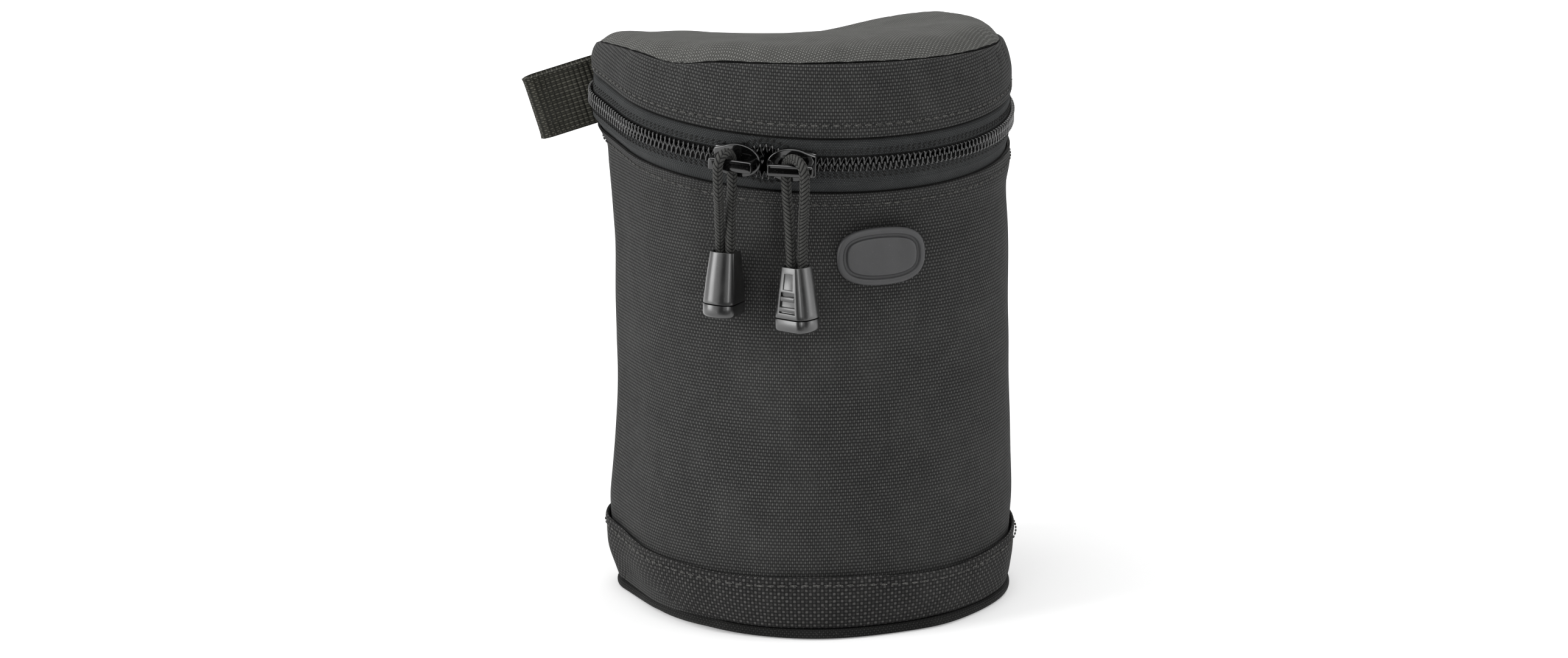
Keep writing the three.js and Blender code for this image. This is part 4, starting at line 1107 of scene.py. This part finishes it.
def build_lid():
    table = (rows_at(lid_side, (2.2, 0.07), (2.3, 0.015), (2.8, -0.01), (3.3, 0.012), (3.5, 0.07),
                     (3.4, 0.13), (3.1, 0.165), (3.35, 0.2), (3.5, 0.26), (3.45, 0.45), (3.15, 0.6),
                     (2.7, 0.74), (2.1, 0.86), (1.6, 0.94))
             + rows_at(seam, (1.15, -0.4), (0.6, -0.15), (0, -0.45), (-0.7, -1.1)))

    def pulled(run, rise):
        top = ease(rise, 10, 16.5)
        soft = waves(run, rise, 21, longest=80, upright=30) * ease(rise, 6.5, 10) * (1 - 0.5 * top)
        return 0.35 * soft - 0.4 * puckers(run, 22) * top * (1 - ease(rise, 17.5, 20))

    band = round_shell("lid_band_cloth", table, 60, 400, shape=pulled, thickness=CLOTH)
    dress(band, BODY_CLOTH, "body_cloth", "lid", "lid_band")

    count = 360
    runs = round_runs(count)[:-1]
    edge = ring(runs, 0.1, as_drawn)
    pinch = puckers(runs, 22)
    rows = [*rings(runs, rows_at(seam, (-1.1, -1.3), (-0.6, -0.8), (-0.1, -0.3)))]
    for share in 1 - np.linspace(0, 1, 60) ** 1.5 * 0.985:
        x, y = shrunk(edge, share)
        inward = (1 - share) * CASE_RADIUS
        full = 1 - np.exp(-(inward / (ROLL - CORNER_ROLL * (x / CASE_RADIUS) ** 2)) ** 1.4)
        z = seam_height(x, y) + 0.3 + lid_swell(x, y) * full + 0.6 * LID_CROWN * (1 - share ** 2)
        z -= 0.45 * pinch * hump(inward, 2, 2.6)
        z += 0.45 * waves(runs, inward, 31, longest=60, upright=22) * hump(inward, 10, 13)
        rows.append(np.stack([x + CROWN_SHIFT, y, z], axis=-1))
    grid = np.array(rows)
    top = grid_object("lid_top_cloth", grid, round_runs(count), grid[..., 1], True)
    close_middle(top, count)
    mesh = top.data
    laid_flat = np.array([mesh.vertices[loop.vertex_index].co[:2] for loop in mesh.loops])
    mesh.uv_layers["UVMap"].data.foreach_set("uv", laid_flat.ravel())
    thicken(top, CLOTH)
    close_ends(top)
    dress(top, LID_CLOTH, "lid_cloth", "lid", "lid_top", smooth_angle=70)
    # Painted shade: the top cloth's lowest rows, where it dips into the seam groove, are painted near black,
    # except at the back
    top.data.materials.append(PAINTED_SHADE_WEAVE)
    for face in top.data.polygons:
        x, y, z = face.center / MM
        if y < 30 and z < seam_height(x - CROWN_SHIFT, y) + 0.12:
            face.material_index = 1


# Foam and lining
def pad(obj, body, node):
    close_ends(obj)
    dress(obj, FOAM, "foam", body, node)


def slab(name, offset, low, high, level):
    """A flat closed body inside the plan; level places a point by its x, y and share of the way out."""
    runs = round_runs(200)
    edge = ring(runs[:-1], offset, as_drawn)
    outline = ((0.02, low), (0.5, low), (0.985, low), (1, (low * 3 + high) / 4),
               (1, (low + 3 * high) / 4), (0.985, high), (0.5, high), (0.02, high))
    grid = np.array([level(*shrunk(edge, share), share) + [0, 0, height] for share, height in outline])
    return grid_object(name, grid, runs, grid[..., 1], True)


def build_inside():
    table = (rows_at(flat, (-4, 7.3), (-3.6, 8), (-3.1, 12), (-2.5, 20), (-2, FOOT_RISE), (-1.8, WAIST_LOW),
                     (-1.8, 114))
             + rows_at(zip_level, (-1.7, -15), (-1.6, -9.6), (-2.2, -8.95), (-7.6, -8.95), (-8.4, -9.6),
                       (-8.6, -15), (-8.6, -22))
             + rows_at(flat, (-8.6, 114), (-8.6, WAIST_LOW), (-8.6, FOOT_RISE), (-8.6, 9), (-7.8, 7.4)))
    pad(round_shell("wall_pad", table + table[:1], 120, 200), "case", "wall_foam")
    pad(slab("floor_pad", -4.5, 1.6, 6.9, lambda x, y, share: flat(0)(x, y)), "case", "base_foam")
    pad(slab("lid_top_pad", -1.5, -4.8, -0.1, lambda x, y, share: seam(LID_CROWN * (1 - share ** 2))(x, y)),
        "lid", "lid_top_foam")
    floor = slab("floor_lining", -9, 7.3, 8.1,
                 lambda x, y, share: flat(0.6 * (1 - share ** 2) * (share < 0.98))(x, y))
    close_ends(floor)
    dress(floor, LINING, "lining", "case", "base_lining")

    def in_lid(share):
        return between(zip_level(7.4), seam(-5.4), share)

    table = rows_at(in_lid, (0.5, 0), (0.65, 0.2), (0.4, 0.6), (0, 1), (-3.9, 1), (-3.8, 0.6), (-3.4, 0.2),
                    (-3.1, 0))
    end = ARC + SIDE - 0.1
    pad(round_shell("lid_band_pad", table + table[:1], 30, 160, ends=(-end, end)), "lid", "lid_band_foam")

    table = (rows_at(flat, (-8.9, 8.9), (-8.9, 12), (-8.9, FOOT_RISE), (-8.9, WAIST_LOW), (-8.9, 114))
             + rows_at(zip_level, (-8.95, -22), (-9, -15), (-9, -10), (-8.7, -8.6), (-7.5, -8), (-3, -8.05),
                       (-0.7, -8.5)))

    def creased(run, rise):
        calm = ease(rise, 4, 20) * (1 - ease(rise, 100, 124))
        return -0.35 * np.abs(waves(run, rise, 41, longest=50, upright=40)) * calm

    made = round_shell("wall_lining_cloth", table, 90, 260, shape=creased, thickness=-0.7)
    dress(made, LINING, "lining", "case", "wall_lining")

    runs = round_runs(240)[:-1]
    rows = [*rings(runs, rows_at(zip_level, (0.6, 6.9), (-3.4, 6.4), (-4.2, 5.2), (-4.3, 3.6), (-4.45, 3.1),
                                 (-4.8, 3.2), (-4.9, 4.5))),
            ring(runs, -5, between(zip_level(3), seam(-6.5), 0.6)), ring(runs, -5.1, seam(-7.4))]
    edge = ring(runs, -5.1, as_drawn)
    for share in (0.97, 0.9, 0.75, 0.5, 0.25, 0.02):
        rows.append(seam(LID_CROWN * (1 - share ** 2) - 6.1)(*shrunk(edge, share)))
    grid = np.array(rows)
    made = grid_object("lid_lining_cloth", grid, round_runs(240), climbed(grid), True)
    close_ends(made)
    dress(made, LINING, "lining", "lid", "lid_lining")


def build_badge():
    """A bare moulded badge: a raised rim, a groove and a raised middle, bent to the case."""
    bpy.ops.curve.primitive_bezier_circle_add(radius=1)
    outline = bpy.context.active_object
    outline.data.resolution_u = 14
    fullness, half_width, half_height = 1.3, 13.5, 8.6
    for point in outline.data.splines[0].bezier_points:
        point.handle_left_type = point.handle_right_type = "FREE"
        point.handle_left = point.co + (point.handle_left - point.co) * fullness
        point.handle_right = point.co + (point.handle_right - point.co) * fullness
    outline.scale = (half_width, half_height, 1)
    bpy.ops.object.convert(target="MESH")
    bpy.ops.object.transform_apply(location=True, rotation=True, scale=True)
    badge = bpy.context.active_object
    badge.name = "badge_moulding"
    bpy.ops.object.mode_set(mode="EDIT")
    take_all()
    bpy.ops.mesh.remove_doubles(threshold=0.01)
    bpy.ops.mesh.edge_face_add()
    take_all()
    pull_out(z=1.1)
    for inset, lift in ((0.45, 0.6), (0.3, 0.1), (0.9, 0.0), (0.35, -0.95), (0.7, 0.0), (0.35, 0.7),
                        (0.5, 0.08), (1.2, 0.0), (1.2, 0.0)):
        bpy.ops.mesh.inset(thickness=inset, use_even_offset=True)
        shift(lift)
    for share in (0.7, 0.4, 0.1):
        bpy.ops.mesh.extrude_region_move()
        bpy.ops.transform.resize(value=(share, share, 1))
    end_edit()
    soften(badge, 0.16, 2, 35)
    seat, bearing, height = CASE_RADIUS + CLEARANCE, math.radians(-4), ZIPPER_HEIGHT - 35.5
    for vert in badge.data.vertices:
        angle = bearing + vert.co.x / CASE_RADIUS
        radius = seat + vert.co.z
        vert.co = Vector((radius * math.sin(angle), -radius * math.cos(angle), height + vert.co.y)) * MM
    badge.data.update()
    start_edit(badge)
    end_edit()
    dress(badge, BADGE_RUBBER, "badge_rubber", "case", "badge", smooth_angle=40)


def strap(name, path, width_axis, width, thickness, columns, ribs, pitch):
    """A length of webbing along a path of rows, with ribs across it."""
    steps = np.linalg.norm(np.diff(path, axis=0), axis=1)
    along = np.concatenate([[0], np.cumsum(steps)])
    stand = unit(np.cross(width_axis, unit(np.gradient(path, axis=0))))
    share = np.linspace(-0.5, 0.5, columns)
    rolled = -0.25 * (np.abs(share) * 2) ** 8
    rib = ribs * np.abs(np.sin(along * math.pi / pitch))[:, None] * (1 - (np.abs(share) * 2) ** 10)[None]
    grid = path[:, None] + width_axis[None, None] * (share * width)[None, :, None]
    grid = grid + stand[:, None] * (rolled[None] + rib)[..., None]
    made = grid_object(name, grid, share * width, np.broadcast_to(along[:, None], grid.shape[:2]))
    thicken(made, thickness)
    return made


def build_straps():
    half, seat, middle = 36, BACK_DISTANCE + CLEARANCE + 1.6, 76
    rise_and_gap = [(-half, 0), (5 - half, 0), (10 - half, 0.1), (13 - half, 2.4), (17 - half, 6.2),
                    (-10, 6.6)]
    profile = rise_and_gap + [(0, 6.7)] + [(-rise, gap) for rise, gap in rise_and_gap[::-1]]
    path = through(np.array([[0, seat + gap, middle + rise] for rise, gap in profile]), 150)
    loop = strap("belt_strap", path, np.array([-1.0, 0, 0]), 42, 1.5, 22, 0.1, 1.2)
    dress(loop, WEBBING, "webbing", "case", "belt_loop")

    turn, heading, droop = math.radians(55), math.radians(161), math.radians(16.5)
    foot, normal = station(np.array([-(ARC + SIDE + CORNER_RADIUS * turn)]))
    plan = foot[0] + 4.5 * normal[0]
    root = zip_level(-2)(np.float64(plan[0]), np.float64(plan[1]))
    level = np.array([math.cos(heading), math.sin(heading), 0])
    along = level * math.cos(droop) + [0, 0, -math.sin(droop)]
    across = level * math.sin(droop) + [0, 0, math.cos(droop)]
    stand = np.cross(along, across)
    radius, straight = 2.0, 20.0
    fold = [(straight + radius * math.cos(a), radius * math.sin(a)) for a in np.linspace(1.4, -1.4, 7)]
    upper = [(-1.5, radius * 0.9), (6, radius), (13, radius)]
    outline = upper + fold + [(run, -side) for run, side in upper[::-1]]
    path = through(np.array([root + along * run + stand * side for run, side in outline]), 170)
    tab = strap("grab_tab_webbing", path, across, 20, 1.4, 16, 0.28, 1.65)
    dress(tab, WEBBING, "webbing", "case", "grab_tab")


def coil_stitches(name, side, body):
    rows = [seam_line(-ZIPPER_END, ZIPPER_END, 3.1, zip_spread(side * rise, share), 1.76, -0.5 * side)
            for rise, share in ((3.2, 0.9), (4.1, 0.75))]
    dress(sewn(name, rows, 1.5, 0.45), COIL_THREAD, "zipper_tape", body)


def build_stitches():
    rows = [seam_line(-HALF_ROUND, HALF_ROUND, 1.5, foot_level(18.6, 1), 3.2),
            seam_line(-PANEL_END, PANEL_END, 1.85, zip_level(-13.2), 3)]
    dress(sewn("case_stitches", rows, 2.3, 0.65), THREAD, "body_cloth", "case")
    coil_stitches("lower_coil_stitches", -1, "case")
    row = seam_line(-HALF_ROUND, HALF_ROUND, 3.3, lid_side(0.165), 3)
    dress(sewn("lid_stitches", [row], 2.3, 0.7), THREAD, "body_cloth", "lid")
    coil_stitches("upper_coil_stitches", 1, "lid")


build_base()
build_walls()
build_zipper()
build_lid()
build_inside()
build_badge()
build_straps()
build_stitches()


# Floor, light and camera
def beside(bearing, distance, height):
    """A place beside the stage. Its bearing is in degrees from the front, positive to the right."""
    turn = math.radians(bearing)
    return math.sin(turn) * distance, -math.cos(turn) * distance, height


def build_floor():
    bpy.ops.mesh.primitive_plane_add(size=6)
    floor = bpy.context.active_object
    floor.name = "floor"
    material, tree, shader, place = new_material("Pale floor")
    light = tree.nodes.new("ShaderNodeLightPath").outputs
    seen = calc(tree, "MAXIMUM", light["Is Camera Ray"], light["Is Glossy Ray"])
    # The floor glows for camera and gloss rays so that it looks white. The glow is weaker near the object,
    # rising from 0.3 within a quarter metre to 0.75 beyond 0.9 m. This paints shade on the floor round the
    # object, on top of the lamps' real shadow, and darkens the floor in the object's gloss.
    away = put(tree, "ShaderNodeVectorMath", {0: place["Object"]}, operation="LENGTH").outputs["Value"]
    feed(tree, shader, {
        "Base Color": mix(tree, noise(tree, place["Object"], 3.0, 2.0), ink(240, 240, 240),
                          ink(245, 245, 245)),
        "Roughness": 0.9, "Emission Color": (1, 1, 1, 1),
        "Emission Strength": calc(tree, "MULTIPLY", seen, ramp(tree, away, 0.25, 0.9, 0.3, 0.75))})
    floor.data.materials.append(material)


def build_lights():
    for name, bearing, distance, height, width, tall, radiance in (
            ("left_softbox", -91, 1.3, 0.55, 0.56, 1.3, 6), ("front_strip", -6, 1.6, 0.5, 0.3, 1.2, 4.6),
            ("right_softbox", 66, 1.4, 0.55, 0.36, 1.2, 2.6), ("top_softbox", 0, 0.05, 1.5, 1.4, 1.4, 2.4)):
        lamp = bpy.data.lights.new(name, "AREA")
        lamp.shape, lamp.size, lamp.size_y = "RECTANGLE", width, tall
        lamp.energy = radiance * math.pi * width * tall
        made = as_object(name, lamp)
        made.location = beside(bearing, distance, height)
        made.rotation_euler = (Vector((0, 0, 0.1)) - made.location).to_track_quat("-Z", "Y").to_euler()


def build_cards():
    """Black cards that keep the floor out of the gloss, as beside a real stage."""
    black = bpy.data.materials.new("Black card")
    black.use_nodes = True
    feed(black.node_tree, black.node_tree.nodes["Principled BSDF"],
         {"Base Color": (0, 0, 0, 1), "Specular IOR Level": 0})
    for name, bearing, away, width, tall in (
            ("left_card", -48, 0.5, 0.2, 0.6), ("middle_card", 28, 0.5, 0.2, 0.6),
            ("right_card", 98, 0.5, 0.2, 0.6), ("front_card", -25, 0.33, 0.5, 0.09)):
        bpy.ops.mesh.primitive_plane_add(size=1, location=beside(bearing, away, tall / 2),
                                         rotation=(math.pi / 2, 0, math.radians(bearing)))
        card = bpy.context.active_object
        card.name = name
        card.scale = (width, tall, 1)
        card.data.materials.append(black)
        card.visible_camera = card.visible_diffuse = card.visible_shadow = False


def build_world():
    world = bpy.data.worlds.new("Studio")
    bpy.context.scene.world = world
    world.use_nodes = True
    tree = world.node_tree
    light = tree.nodes.new("ShaderNodeLightPath").outputs
    white = calc(tree, "MAXIMUM", light["Is Camera Ray"],
                 calc(tree, "MAXIMUM", light["Is Glossy Ray"], light["Is Transmission Ray"]))
    feed(tree, tree.nodes["Background"], {"Strength": ramp(tree, white, 0, 1, 0.27, 1.0),
                                          "Color": (1, 1, 1, 1)})
    bpy.context.scene.view_settings.view_transform = "Standard"


def build_camera():
    """The photograph's own view: 22 degrees from the left, 13 degrees down, with its slight roll."""
    width, focal, shift_x, shift_y = 2576, 7429, -60.8, 7.1
    azimuth, elevation, roll = math.radians(-22.2), math.radians(13.13), math.radians(-0.715)
    back = Vector((math.sin(azimuth) * math.cos(elevation), -math.cos(azimuth) * math.cos(elevation),
                   math.sin(elevation)))
    right = (-back).cross(Vector((0, 0, 1))).normalized()
    above = back.cross(right)
    x = right * math.cos(roll) + above * math.sin(roll)
    y = above * math.cos(roll) - right * math.sin(roll)
    data = bpy.data.cameras.new("Photograph")
    data.sensor_width = 36
    data.lens = focal * data.sensor_width / width
    data.shift_x, data.shift_y = shift_x / width, shift_y / width
    camera = as_object("Photograph", data)
    camera.matrix_world = frame_matrix(x, y, back, Vector((0, 0, 0.0805)) + back * 1.389)
    bpy.context.scene.camera = camera


build_floor()
build_lights()
build_cards()
build_world()
build_camera()
